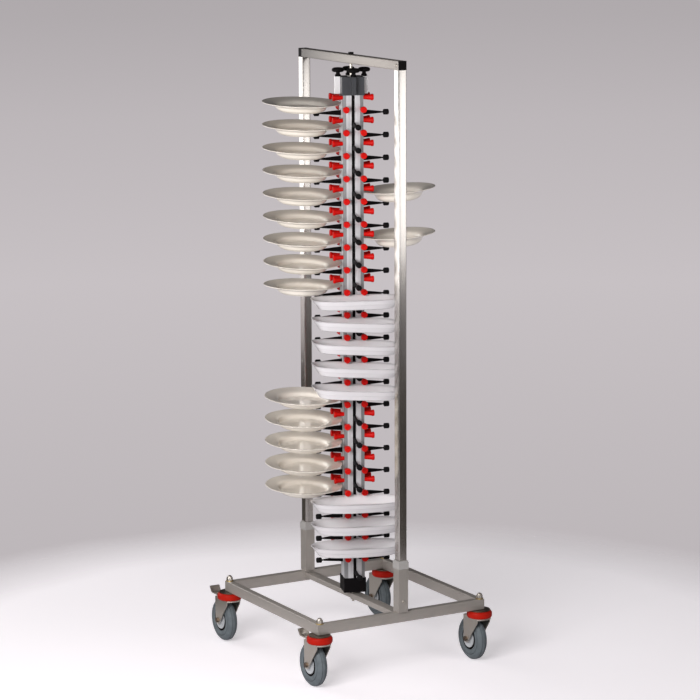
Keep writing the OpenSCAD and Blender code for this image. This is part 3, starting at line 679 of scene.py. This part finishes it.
class TROLLEY_OT_castors(Operator):
    """Four swivel castors: forks, guards, hubs, tyres, pedals and the nuts over them"""
    bl_idname = "trolley.castors"
    bl_label = "Castors"

    def execute(self, context):
        for corner in CORNERS:
            fork = "castor_fork_" + corner
            piece = softened(fork, "swivel_" + corner, 0.0006, "zinc axle")
            self.brown_axle(piece, corner)
            self.guard(corner)
            self.wheel(corner)
        for corner in CORNERS[:2]:
            self.pedal(corner)
        self.nuts()
        return {"FINISHED"}

    def brown_axle(self, piece, corner):
        """Gives the axle's head and nut, which stand out of the fork's legs, their own finish."""
        hub, leg = middle("wheel_hub_" + corner), extent("wheel_tyre_" + corner).y / 2 + 0.0072
        faces = piece.data.polygons
        spots = np.zeros(len(faces) * 3)
        faces.foreach_get("center", spots)
        x, y, z = (spots.reshape(-1, 3) - np.array(hub)).T
        near = (np.hypot(x, z) < 0.009) & (np.abs(y) > leg)
        faces.foreach_set("material_index", near.astype(np.int32))

    def guard(self, corner):
        """A rounded profile turned round the castor's upright axis."""
        node = "castor_guard_" + corner
        low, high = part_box(node)
        r, z0, z1 = (high.x - low.x) / 2, low.z, high.z
        profile = rounded([(0.0202, z0), (r - 0.0025, z0), (r - 0.0022, z0 + 0.0012), (r, z0 + 0.0035),
                           (r, z1 - 0.0055), (r - 0.0035, z1 - 0.0006), (r - 0.006, z1), (0.0202, z1)],
                          0.0018, 4)
        guard = Surface().add(turned(profile, 64) + under(node), ring=True)
        guard.piece(node + "_moulding", "swivel_" + corner, "guard", node, "red_plastic")

    def wheel(self, corner):
        """Tyre and hub: two closed profiles turned round the axle."""
        body = "wheel_" + corner
        node = "wheel_tyre_" + corner
        centre = np.array(middle(node))
        r, half = halves(node, "zy")
        inner = 0.033
        side = [(inner, -half + 0.0035), (inner + 0.003, -half + 0.001), (inner + 0.006, -half),
                (r - 0.0175, -half + 0.0006), (r - 0.0155, -half + 0.0026), (r - 0.0135, -half + 0.001),
                (r - 0.0075, -half + 0.0024), (r - 0.0018, -half + 0.0078), (r - 0.0003, -half + 0.0098),
                (r - 0.0022, -half + 0.011), (r - 0.0003, -half + 0.0122), (r, -half + 0.015)]
        profile = rounded(np.array(side + [(p, -h) for p, h in side[::-1]]), 0.0009, 3)
        # Points near the tyre's two grooves carry a part value, by which the rubber finish paints shade into them.
        across = half - np.abs(profile[:, 1])
        away = np.minimum(np.hypot(profile[:, 0] - r + 0.0022, across - 0.011),
                          np.hypot(profile[:, 0] - r + 0.0155, across - 0.0026))
        painted_groove_shade = np.clip(1.0 - away / 0.0022, 0.0, 1.0)[:, None]
        tyre = Surface().add(turned(profile, 96, "y") + centre, ring=True, value=painted_groove_shade)
        tyre.piece(node + "_rubber", body, "tyre", node, "grey_tyre", 40)
        hub_node = "wheel_hub_" + corner
        reach, face, edge = extent(hub_node).y / 2, half - 0.001, inner - 0.0001
        out = [(0.00405, -reach), (0.0068, -reach), (0.0078, -face - 0.0008), (0.012, -face + 0.0022),
               (0.018, -face + 0.0026), (0.0225, -face + 0.0008), (0.0268, -face), (0.0272, -face + 0.003),
               (edge, -face + 0.003)]
        profile = np.array(out + [(p, -h) for p, h in out[::-1]])
        hub = Surface().add(turned(rounded(profile, 0.0007, 2), 72, "y") + centre, ring=True)
        ring = [(edge - 0.0058, -face + 0.0028), (edge - 0.0002, -face + 0.0028), (edge - 0.0002, -face + 0.0012),
                (edge - 0.003, -face + 0.0004), (edge - 0.0058, -face + 0.0012)]
        for sign in (1.0, -1.0):
            strip = turned(rounded([(p, sign * h) for p, h in ring], 0.0006, 2), 72, "y")
            hub.add(strip + centre, ring=True, slot=1)
        hub.piece(hub_node + "_moulding", body, "hub black", hub_node, "hub_plastic", 28)

    def pedal(self, corner):
        """The pedal's side view, carried across its width with rounded edges, and a barrel round the pin."""
        node = "brake_pedal_" + corner
        half = extent(node).y / 2
        pivot = np.array((middle("castor_guard_" + corner).x - 0.046, middle(node).y, 0.139))
        outline = np.array([(-0.002, -0.003), (-0.012, -0.007), (-0.042, -0.007), (-0.0536, 0.0085), (-0.054, 0.011),
                            (-0.048, 0.011), (-0.04, -0.004), (-0.012, -0.004), (-0.003, 0.0015)])
        outline = rounded(outline, 0.002, 3)
        rows = carried(outline, stations(-half, half, 0.0008))
        surface = Surface().add(axes(rows, "xzy") + pivot, caps=True)
        barrel = rounded([(0.00256, -half), (0.0045, -half), (0.0045, half), (0.00256, half)], 0.0004, 2)
        surface.add(turned(barrel, 32, "y") + pivot, ring=True)
        for i in range(5):
            x = -0.053 + 0.0012 * i
            rib = rounded([(x - 0.0003, 0.0105), (x + 0.0003, 0.0105), (x + 0.0003, 0.011), (x - 0.0003, 0.011)],
                          0.0001, 1)
            rows = carried(rib, [(-half + 0.003, 0.0), (half - 0.003, 0.0)])
            surface.add(axes(rows, "xzy") + pivot, caps=True)
        surface.piece(node + "_pressing", "brake_" + corner, "zinc", node, "zinc")

    def nuts(self):
        """Domed nut: each ring is a hexagon of the flats' width below and turns into a circle that shrinks as the
        cosine of its rise above; its washer is a turned profile."""
        surface = Surface()
        a = tau * np.arange(48) / 48
        hexagon = 1 / np.cos((a % (pi / 3)) - pi / 6)
        steps = [(0.0, 0.94, 0.0), (0.0008, 1.0, 0.0), (0.0085, 1.0, 0.0), (0.01, 0.97, 0.6), (0.0104, 0.9, 1.0)]
        rise = np.linspace(0, pi / 2, 9)
        steps += [(0.0104 + 0.0056 * sin(t), 0.88 * cos(t), 1.0) for t in rise]
        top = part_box("castor_nuts")[1].z - 0.016
        z, size, smooth = np.array(steps).T[:, :, None]
        r = 0.008 * size * (hexagon * (1 - smooth) + smooth)
        rows = np.stack([r * np.cos(a), r * np.sin(a), top + z + 0 * r], -1)
        washer = rounded([(0.0061, top - 0.0015), (0.011, top - 0.0015), (0.011, top), (0.0061, top)], 0.0004, 2)
        for corner in CORNERS:
            at = under("castor_guard_" + corner)
            surface.add(rows + at)
            surface.add(turned(washer, 40) + at, ring=True, slot=1)
        surface.piece("castor_domed_nuts", "base", "zinc brass", "castor_nuts", "zinc", 28)


class TROLLEY_OT_column(Operator):
    """Posts, arm rails, blocks, clamp plates and knobs of the turning column"""
    bl_idname = "trolley.column"
    bl_label = "Column"

    def execute(self, context):
        s = context.scene.trolley.column
        self.posts(s.angle, s.half)
        self.rails(s.angle)
        softened("top_block", "rack", 0.0012, "block", 3)
        softened("bottom_block", "rack", 0.0005, "black")
        plates = softened("clamp_plates", "rack", 0.0005, "clamp block").data
        # Painted reflection: the front clamp plate, the same steel as the other three, gets the block's dark finish.
        front, near = Vector((cos(s.angle - pi / 2), sin(s.angle - pi / 2), 0)), 0.028
        for face in plates.polygons:
            face.material_index = int((face.center - AXIS).dot(front) > near)
        self.knobs(s.knob)
        return {"FINISHED"}

    def posts(self, angle, half):
        """The post's section, with its corner step, carried up the column at each of the four corners."""
        inner, band, low = 0.0045, half - 0.0105, half - 0.001
        outline = [(inner, inner), (half, inner), (half, inner + 0.0026), (half - 0.0005, inner + 0.003),
                   (half - 0.0005, inner + 0.0036), (half, inner + 0.004), (half, band), (low, band), (low, low),
                   (band, low), (band, half), (inner + 0.004, half), (inner + 0.0036, half - 0.0005),
                   (inner + 0.003, half - 0.0005), (inner + 0.0026, half), (inner, half)]
        outline = rounded(outline, 0.0004, 2)
        milled = (outline > band - 0.0005).all(1) & (outline < half - 0.0007).all(1)
        rows = carried(outline, [(POST_FOOT, 0.0), (POST_TOP, 0.0)])
        surface = Surface()
        for side in range(4):
            surface.add(to_side(rows, side, angle), caps=True, value=milled)
        surface.piece("rack_posts_extrusion", "rack", "post", "rack_posts", "post_aluminium", 25)

    def rails(self, angle):
        """A rounded strip carried up the slot, drawn in by a third of a millimetre at every joint between two arms'
        mouldings."""
        surface = Surface()
        outline = oblong(0.01025, 0.00445, 0.0007, 2) + np.array((0.01825, 0.0))
        for side in range(4):
            joints = tip_height(side, np.arange(-1, LEVELS + 1)) - 0.02
            joints = joints[(joints > POST_FOOT + 0.004) & (joints < POST_TOP - 0.004)][::-1]
            steps = np.array([(-0.0006, 0.0), (-0.0002, 0.0004), (0.0002, 0.0004), (0.0006, 0.0)])
            inner = [(z + d, inset) for z in joints for d, inset in steps]
            rows = carried(outline, [(POST_FOOT, 0.0), *inner, (POST_TOP, 0.0)])
            surface.add(to_side(rows, side, angle), caps=True)
        surface.piece("arm_rails_moulding", "rack", "black", "arm_rails", "black_plastic", 25)

    def knobs(self, r):
        """Mushroom knob: a profile turned round the stud, whose cap bulges a little between ten shallow grips."""
        for name in SIDES:
            node = "knob_" + name
            low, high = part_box(node)
            base = high.z - 0.025
            profile = rounded([(0.0, low.z), (0.003, low.z), (0.003, base), (0.0082, base), (0.0082, base + 0.005),
                               (0.0055, base + 0.007), (0.0055, base + 0.0115), (r - 0.0035, base + 0.0125),
                               (r, base + 0.0155), (r, base + 0.02), (r - 0.0025, base + 0.0232),
                               (r - 0.0085, base + 0.025), (0.0, base + 0.025)],
                              [0, 0, 0.0002, 0.0008, 0.001, 0.001, 0.001, 0.002, 0.003, 0.004, 0.004, 0.004, 0], 4,
                              closed=False)
            rows = turned(profile, 80)
            around = tau * np.arange(80) / 80
            radius = np.hypot(rows[..., 0], rows[..., 1])
            grip = 1 - 0.028 * np.clip((radius / r - 0.8) / 0.2, 0, 1) * (0.5 - 0.5 * np.cos(10 * around)) ** 2
            rows[..., :2] *= grip[..., None]
            knob = Surface().add(rows + under(node))
            knob.piece(node + "_moulding", node, "black", node, "black_plastic", 30)


class TROLLEY_OT_arms(Operator):
    """Arms with their soft tips, and the pairs of red bumpers above them"""
    bl_idname = "trolley.arms"
    bl_label = "Arms and bumpers"

    def execute(self, context):
        s = context.scene.trolley
        angle = s.column.angle
        self.blades(angle, s.arms.width)
        self.tips(angle, s.arms.tip)
        self.bumpers(angle, s.arms.spread / 2, s.arms.lift)
        return {"FINISHED"}

    def blades(self, angle, width):
        """A rounded section carried outwards; its top and bottom close in along two broken lines and its width narrows
        to the neck."""
        reach = np.array([0.027, 0.05, 0.067, 0.084, 0.0862, 0.1])
        top = np.array([0.0081, 0.0064, 0.0045, 0.0026, 0.002, 0.0019])
        bottom = np.array([-0.0071, -0.0053, -0.004, -0.0026, -0.002, -0.0019])
        half = np.array([0.5, 0.5, 0.47, 0.43, 0.3, 0.27]) * width
        around = np.array([(-1, -0.55), (-0.6, -1), (0.6, -1), (1, -0.55), (1, 0.5), (0.45, 1), (-0.45, 1), (-1, 0.5)])
        mid, tall = (top + bottom) / 2, (top - bottom) / 2
        rows = np.stack([np.repeat(reach[:, None], 8, 1), half[:, None] * around[None, :, 0],
                         mid[:, None] + tall[:, None] * around[None, :, 1]], -1)
        for side, name in enumerate(SIDES):
            surface = Surface()
            for level in range(LEVELS):
                surface.add(at_level(rows, side, level, angle), caps=True)
            node = "arms_" + name
            surface.piece(node + "_moulding", "rack", "black", node, "black_plastic", 50)

    def tips(self, angle, r):
        """A short barrel with rounded ends, turned round the arm's neck."""
        low, high = 0.091, 0.107
        profile = [(0.0, low), (0.0052, low), (r - 0.001, low + 0.0006), (r, low + 0.0022), (r, high - 0.003),
                   (r - 0.0012, high - 0.0008), (0.0045, high), (0.0, high)]
        rows = turned(profile, 12, "x")
        surface = Surface()
        for side in range(4):
            for level in range(LEVELS):
                surface.add(at_level(rows, side, level, angle))
        surface.piece("arm_tips_rubber", "rack", "tip", "arm_tips", "black_rubber", 40)

    def bumpers(self, angle, half, lift):
        """A cone with a collar and a sunk end, turned round an axis that points straight out of the post."""
        profile = np.array([(0.0055, 0.0002), (0.0058, 0.003), (0.008, 0.0215), (0.00925, 0.0228),
                            (0.00925, 0.0282), (0.0082, 0.029), (0.005, 0.0288), (0.0, 0.027)])
        rows = turned(profile, 12, "x") + np.array((0.029, 0.0, 0.0))
        for sides, name in (((0, 2), "bumpers_front_back"), ((1, 3), "bumpers_sides")):
            surface = Surface()
            for side in sides:
                for level in range(LEVELS):
                    for sign in (-1.0, 1.0):
                        surface.add(at_level(rows + np.array((0.0, sign * half, lift)), side, level, angle))
            surface.piece(name + "_moulding", "rack", "red", name, "red_plastic", 45)


class TROLLEY_OT_crockery(Operator):
    """Cream plates on the left and right stacks and white dishes on the front stack"""
    bl_idname = "trolley.crockery"
    bl_label = "Crockery"

    def execute(self, context):
        s = context.scene.trolley
        turn, ware = s.column.angle, s.crockery
        large = {"r": ware.plate, "foot": 0.0518, "h": 0.0235, "reach": 0.142, "tilt": 1.5, "roll": ware.plate_roll}
        small = {"r": ware.small, "foot": 0.0465, "h": 0.0295, "reach": 0.1365, "tilt": 4.0, "roll": 0.0}
        self.plates("plates_left_upper", 3, LEFT_UPPER, turn, **large)
        self.plates("plates_left_lower", 3, LEFT_LOWER, turn, **large)
        self.plates("plates_right", 1, RIGHT_PLATES, turn, **small)
        self.dishes("dishes_upper", ROUNDED_DISHES, (0.252, 0.144, -0.01), 3.4, ware, ware.roll, turn)
        self.dishes("dishes_lower", OVAL_DISHES, (0.272, 0.153, -0.006), 2.27, ware, 0.0, turn)
        return {"FINISHED"}

    def plates(self, node, side, levels, turn, r, foot, h, reach, tilt, roll):
        """A plate's half section, with a foot ring, a flat shoulder, a steep bowl and a broad rim, turned round its
        middle and leaned on the arm's tip. The one close above the first dish isn't rolled."""
        under = [(0.0, 0.0), (foot, 0.0), (foot, -0.003), (foot + 0.004, -0.003), (foot + 0.0055, -0.001),
                 (foot + 0.011, -0.0005), (foot + 0.0175, 0.19 * h), (foot + 0.0215, 0.5 * h),
                 (r - 0.03, 0.65 * h), (r - 0.0012, h - 0.0022), (r, h - 0.0012)]
        over = [(r - 0.0004, h - 0.0001), (r - 0.0035, h - 0.0003), (r - 0.029, 0.8 * h), (foot + 0.0195, 0.66 * h),
                (foot + 0.015, 0.3 * h), (foot + 0.0095, 0.005), (0.0, 0.005)]
        cut = [0, 0.0006, 0.0008, 0.001, 0.0012, 0.003, 0.004, 0.004, 0.004, 0.001, 0.0008,
               0.0008, 0.0016, 0.004, 0.004, 0.005, 0.004, 0]
        profile = rounded(under + over, cut, 4, closed=False)
        rows = turned(profile, 96) + np.array((reach - TIP_REACH, 0.0, 0.0))
        bare = (profile[:, 1] < -0.0024) & (profile[:, 0] > foot - 0.001)
        surface = Surface()
        for level in levels:
            lying = leaning(rows, side, level, radians(tilt), 0.0 if level == LEFT_UPPER[-1] else roll)
            surface.add(to_side(lying, side, turn), value=bare[:, None])
        surface.piece(node + "_ware", "rack", "cream", node, "cream_porcelain", 60)

    def dishes(self, node, levels, size, power, ware, roll, turn):
        """Rings of a superellipse, |x/a|^n + |y/b|^n = 1, whose half sizes shrink inwards along the dish's section.
        The first dish of the rolled ones lies level."""
        long, wide, shift = size
        tall, wall = ware.dish, 0.004
        outer = [(0.026, 0.0), (0.021, 0.06), (0.0128, 0.47), (0.011, 0.51), (0.0036, 0.9), (0.0004, 0.975),
                 (0.0, 0.99)]
        inner = [(0.002, 1.0), (0.0042, 0.975), (0.009, 0.88), (0.024, wall / tall + 0.08),
                 (0.03, wall / tall), (0.04, wall / tall)]
        section = np.array([(inset, share * tall) for inset, share in outer + inner])
        cut = [0, 0.001, 0.0006, 0.0006, 0.002, 0.0012, 0.0012, 0.0012, 0.0014, 0.003, 0.004, 0.003, 0]
        section = rounded(section, cut, 4, closed=False)
        a = tau * np.arange(120) / 120
        across = np.sign(np.cos(a)) * np.abs(np.cos(a)) ** (2 / power)
        along = np.sign(np.sin(a)) * np.abs(np.sin(a)) ** (2 / power)
        inset, z = section[:, :1], section[:, 1:]
        rows = np.stack([(wide / 2 - inset) * across, (long / 2 - inset) * along, z + 0 * inset * across], -1)
        floor = rows[-1:] * np.array((0.0, 0.0, 1.0))
        base = rows[:1] * np.array((0.0, 0.0, 1.0))
        rows = np.vstack([base, rows, floor])
        bare = rows[..., 2] < 0.0006
        bare[len(rows) // 2:] = False
        rows = rows + np.array((DISH_EDGE + wide / 2 - TIP_REACH, shift, 0.0))
        surface = Surface()
        for level in levels:
            lying = leaning(rows, 0, level, ware.lean, 0.0 if level == levels[0] else roll)
            surface.add(to_side(lying, 0, turn), value=bare)
        surface.piece(node + "_ware", "rack", "dish", node, "white_porcelain", 60)


class TROLLEY_OT_finishes(Operator):
    """Procedural finishes for every piece and for the CAD nodes that stay in view"""
    bl_idname = "trolley.finishes"
    bl_label = "Finishes"

    def execute(self, context):
        FINISHES.update(make_finishes(context.scene.trolley))
        for node, made in NODE_FINISH.items():
            for slot in frame["nodes"][node].material_slots:
                slot.material = FINISHES[made]
        # Painted shade: the zinc pin's head, above the top bar, gets the black finish.
        pin = frame["nodes"]["top_pivot_pin"].data
        pin.materials.append(FINISHES["black"])
        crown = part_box("top_bar")[1].z
        for face in pin.polygons:
            if face.center.z > crown:
                face.material_index = len(pin.materials) - 1
        return {"FINISHED"}


class TROLLEY_OT_stage(Operator):
    """Camera, pale floor, backdrop colour, soft lights and dark boards"""
    bl_idname = "trolley.stage"
    bl_label = "Stage"

    def execute(self, context):
        s = context.scene.trolley.stage
        context.scene.view_settings.view_transform = "Standard"
        self.camera(s)
        self.floor(s)
        self.world(s)
        self.lights(s)
        self.screens(s)
        return {"FINISHED"}

    def camera(self, s):
        """Looks at the column's axis from the azimuth and elevation, turned by the roll about its own view."""
        a, e = s.azimuth, s.elevation
        back = Vector((sin(a) * cos(e), -cos(a) * cos(e), sin(e)))
        right = Vector((cos(a), sin(a), 0))
        up = back.cross(right)
        across = cos(s.roll) * right + sin(s.roll) * up
        above = cos(s.roll) * up - sin(s.roll) * right
        spot = Vector((AXIS.x, 0, AIM_HEIGHT)) - AIM_SHIFT * right + back * s.distance
        data = bpy.data.cameras.new("Camera")
        data.sensor_width, data.lens, data.clip_end = 36.0, s.lens, 100.0
        camera = linked("Camera", data)
        camera.matrix_world = Matrix((across, above, back)).transposed().to_4x4()
        camera.matrix_world.translation = spot
        bpy.context.scene.camera = camera

    def floor(self, s):
        """Flat rings round the trolley, from its middle to four metres out."""
        r = [0.0, 0.3, 0.6, 0.9, 1.2, 1.6, 2.2, 3.0, 4.0]
        rows = turned([(radius, 0.0) for radius in r], 72) + np.array((AXIS.x, 0, 0))
        mesh = Surface().add(rows).mesh("floor")
        welded(mesh, distance=1e-5)
        linked("floor", mesh)
        material, paint = finish("Pale floor")
        x, y, _ = paint.split(paint.place())
        away = ((x - AXIS.x) ** 2.0 + y ** 2.0) ** 0.5
        cloud = paint.noise(1.6, 2.0)
        fade = paint.ramp(away + cloud * 0.15, s.pool, s.pool + 0.45)
        shade = tuple(s.floor)
        seen = paint.ray("Camera")
        tone = paint.mix(cloud, scaled(shade, 0.97), scaled(shade, 1.02))
        own = paint.mix(seen, (0.0, 0.0, 0.0), scaled(shade, 0.45))
        pale = paint.node("ShaderNodeBsdfPrincipled", values={
            "Base Color": tone, "Roughness": 0.6, "Emission Color": own, "Emission Strength": 1.0})
        clear = paint.node("ShaderNodeBsdfTransparent")
        paint.node("ShaderNodeOutputMaterial", values={"Surface": paint.blend(fade, pale, clear)})
        mesh.materials.append(material)

    def world(self, s):
        """Backdrop tone by height of view, darker above the horizon. Polished pieces show it too, but find a dark
        studio on the camera's side, and a dimmer even light reaches everything else."""
        world = bpy.data.worlds.new("Studio")
        bpy.context.scene.world = world
        world.use_nodes = True
        paint = Paint(world.node_tree)
        x, y, up = paint.split(paint.node("ShaderNodeTexCoord", output="Generated"))
        shade = tuple(s.backdrop)
        level = paint.ramp(up, -0.25, 0.0)
        tone = paint.node("ShaderNodeValToRGB", {"stops": [
            (0.0, scaled(shade, 0.93)), (0.18, scaled(shade, 0.98)), (0.38, scaled(shade, 1.05)),
            (0.6, scaled(shade, 0.93)), (0.74, scaled(shade, 0.8)), (0.95, scaled(shade, 0.72))]}, {0: level})
        tone = paint.mix(paint.ramp(up, 0.0, 0.1), tone, scaled(shade, 0.12))
        behind = x * -sin(s.azimuth) + y * cos(s.azimuth)
        rays = paint.ray("Camera")
        gloss = paint.ray("Glossy")
        through = paint.ray("Transmission")
        seen = paint.glow(tone)
        mirrored = paint.mix(paint.ramp(behind, -0.35, 0.3), scaled(shade, 0.22), tone)
        mirror = paint.glow(mirrored)
        overhead = 1.0 - paint.ramp(up, 0.05, 0.45) * 0.85
        unseen = paint.blend(gloss, paint.glow((1.0, 0.97, 0.98), overhead * s.ambient), mirror)
        factor = paint.node("ShaderNodeMath", {"operation": "MINIMUM"}, {0: rays + through, 1: 1.0})
        paint.node("ShaderNodeOutputWorld", values={"Surface": paint.blend(factor, unseen, seen)})

    def lights(self, s):
        """Soft boxes placed by their bearing from the camera, height and distance, each turned to the column."""
        for name, bearing, height, distance, size, power, tint in (
                ("Key", -24, 1.62, 3.0, (1.8, 1.3), s.key, (1.0, 0.98, 0.98)),
                ("Low", -38, 1.3, 1.7, (1.0, 0.25), s.key * 0.035, (1.0, 0.98, 0.96)),
                ("Right", 60, 1.76, 2.6, (1.3, 1.4), s.sides, (1.0, 0.98, 0.97)),
                ("Left", -120, 1.55, 2.6, (1.9, 1.5), s.sides * 1.9, (1.0, 0.99, 0.98)),
                ("Top", 10, 3.6, 0.6, (2.0, 2.0), s.top, (1.0, 1.0, 1.0))):
            data = bpy.data.lights.new(name, "AREA")
            data.shape, data.size, data.size_y = "RECTANGLE", *size
            data.energy, data.color = power, tint
            lamp = linked(name, data)
            a = s.azimuth + radians(bearing)
            spot = Vector((AXIS.x + distance * sin(a), -distance * cos(a), height))
            aim = Vector((AXIS.x, 0, min(height, 0.95))) - spot
            lamp.matrix_world = aim.to_track_quat("-Z", "Y").to_matrix().to_4x4()
            lamp.matrix_world.translation = spot

    def screens(self, s):
        """Two low dark boards, each bent up from a strip on the floor, which only the tubes' sides mirror."""
        material, paint = finish("Dark board")
        weave = paint.noise(300.0, 2.0)
        paint.surface(Base_Color=paint.mix(weave, (0.05, 0.042, 0.033), (0.072, 0.062, 0.05)), Roughness=0.9)
        for name, bearing in (("board_right", 60), ("board_left", -120)):
            a = s.azimuth + radians(bearing)
            out, run = Vector((sin(a), -cos(a), 0)), Vector((cos(a), sin(a), 0)) * 1.5
            edges = [Vector((AXIS.x, 0, 0)) + out * reach + Vector((0, 0, z))
                     for reach, z in ((0.75, 0.004), (2.1, 0.004), (2.1, 0.45))]
            corners = [edge + run * side for edge in edges for side in (-1, 1)]
            mesh = bpy.data.meshes.new(name)
            mesh.from_pydata([tuple(corner) for corner in corners], [], [(0, 1, 3, 2), (2, 3, 5, 4)])
            mesh.materials.append(material)
            board = linked(name, mesh)
            board.visible_camera = board.visible_diffuse = board.visible_shadow = False


STEPS = (TROLLEY_OT_finishes, TROLLEY_OT_frame, TROLLEY_OT_castors, TROLLEY_OT_column, TROLLEY_OT_arms,
         TROLLEY_OT_crockery, TROLLEY_OT_stage)


class TROLLEY_PT_panel(Panel):
    """Lists the steps that build the trolley, and its settings"""
    bl_idname = "TROLLEY_PT_panel"
    bl_label = "Plate rack trolley"
    bl_space_type = "VIEW_3D"
    bl_region_type = "UI"
    bl_category = "Trolley"

    def draw(self, context):
        for step in STEPS:
            self.layout.operator(step.bl_idname)
        settings = context.scene.trolley
        for group in ("frame", "castors", "column", "arms", "crockery", "stage"):
            box = self.layout.box()
            for name in getattr(settings, group).bl_rna.properties.keys():
                if name not in ("rna_type", "name"):
                    box.prop(getattr(settings, group), name)


CLASSES = (FrameSettings, CastorSettings, ColumnSettings, ArmSettings, CrockerySettings, StageSettings,
           TrolleySettings, *STEPS, TROLLEY_PT_panel)


def register():
    """Makes the classes and the scene's settings known to Blender."""
    for made in CLASSES:
        bpy.utils.register_class(made)
    bpy.types.Scene.trolley = PointerProperty(type=TrolleySettings)


def unregister():
    """Takes them away again."""
    del bpy.types.Scene.trolley
    for made in reversed(CLASSES):
        bpy.utils.unregister_class(made)


def main():
    """Runs all the steps in order."""
    register()
    for step in STEPS:
        group, name = step.bl_idname.split(".")
        getattr(getattr(bpy.ops, group), name)()


if __name__ == "__main__":
    main()
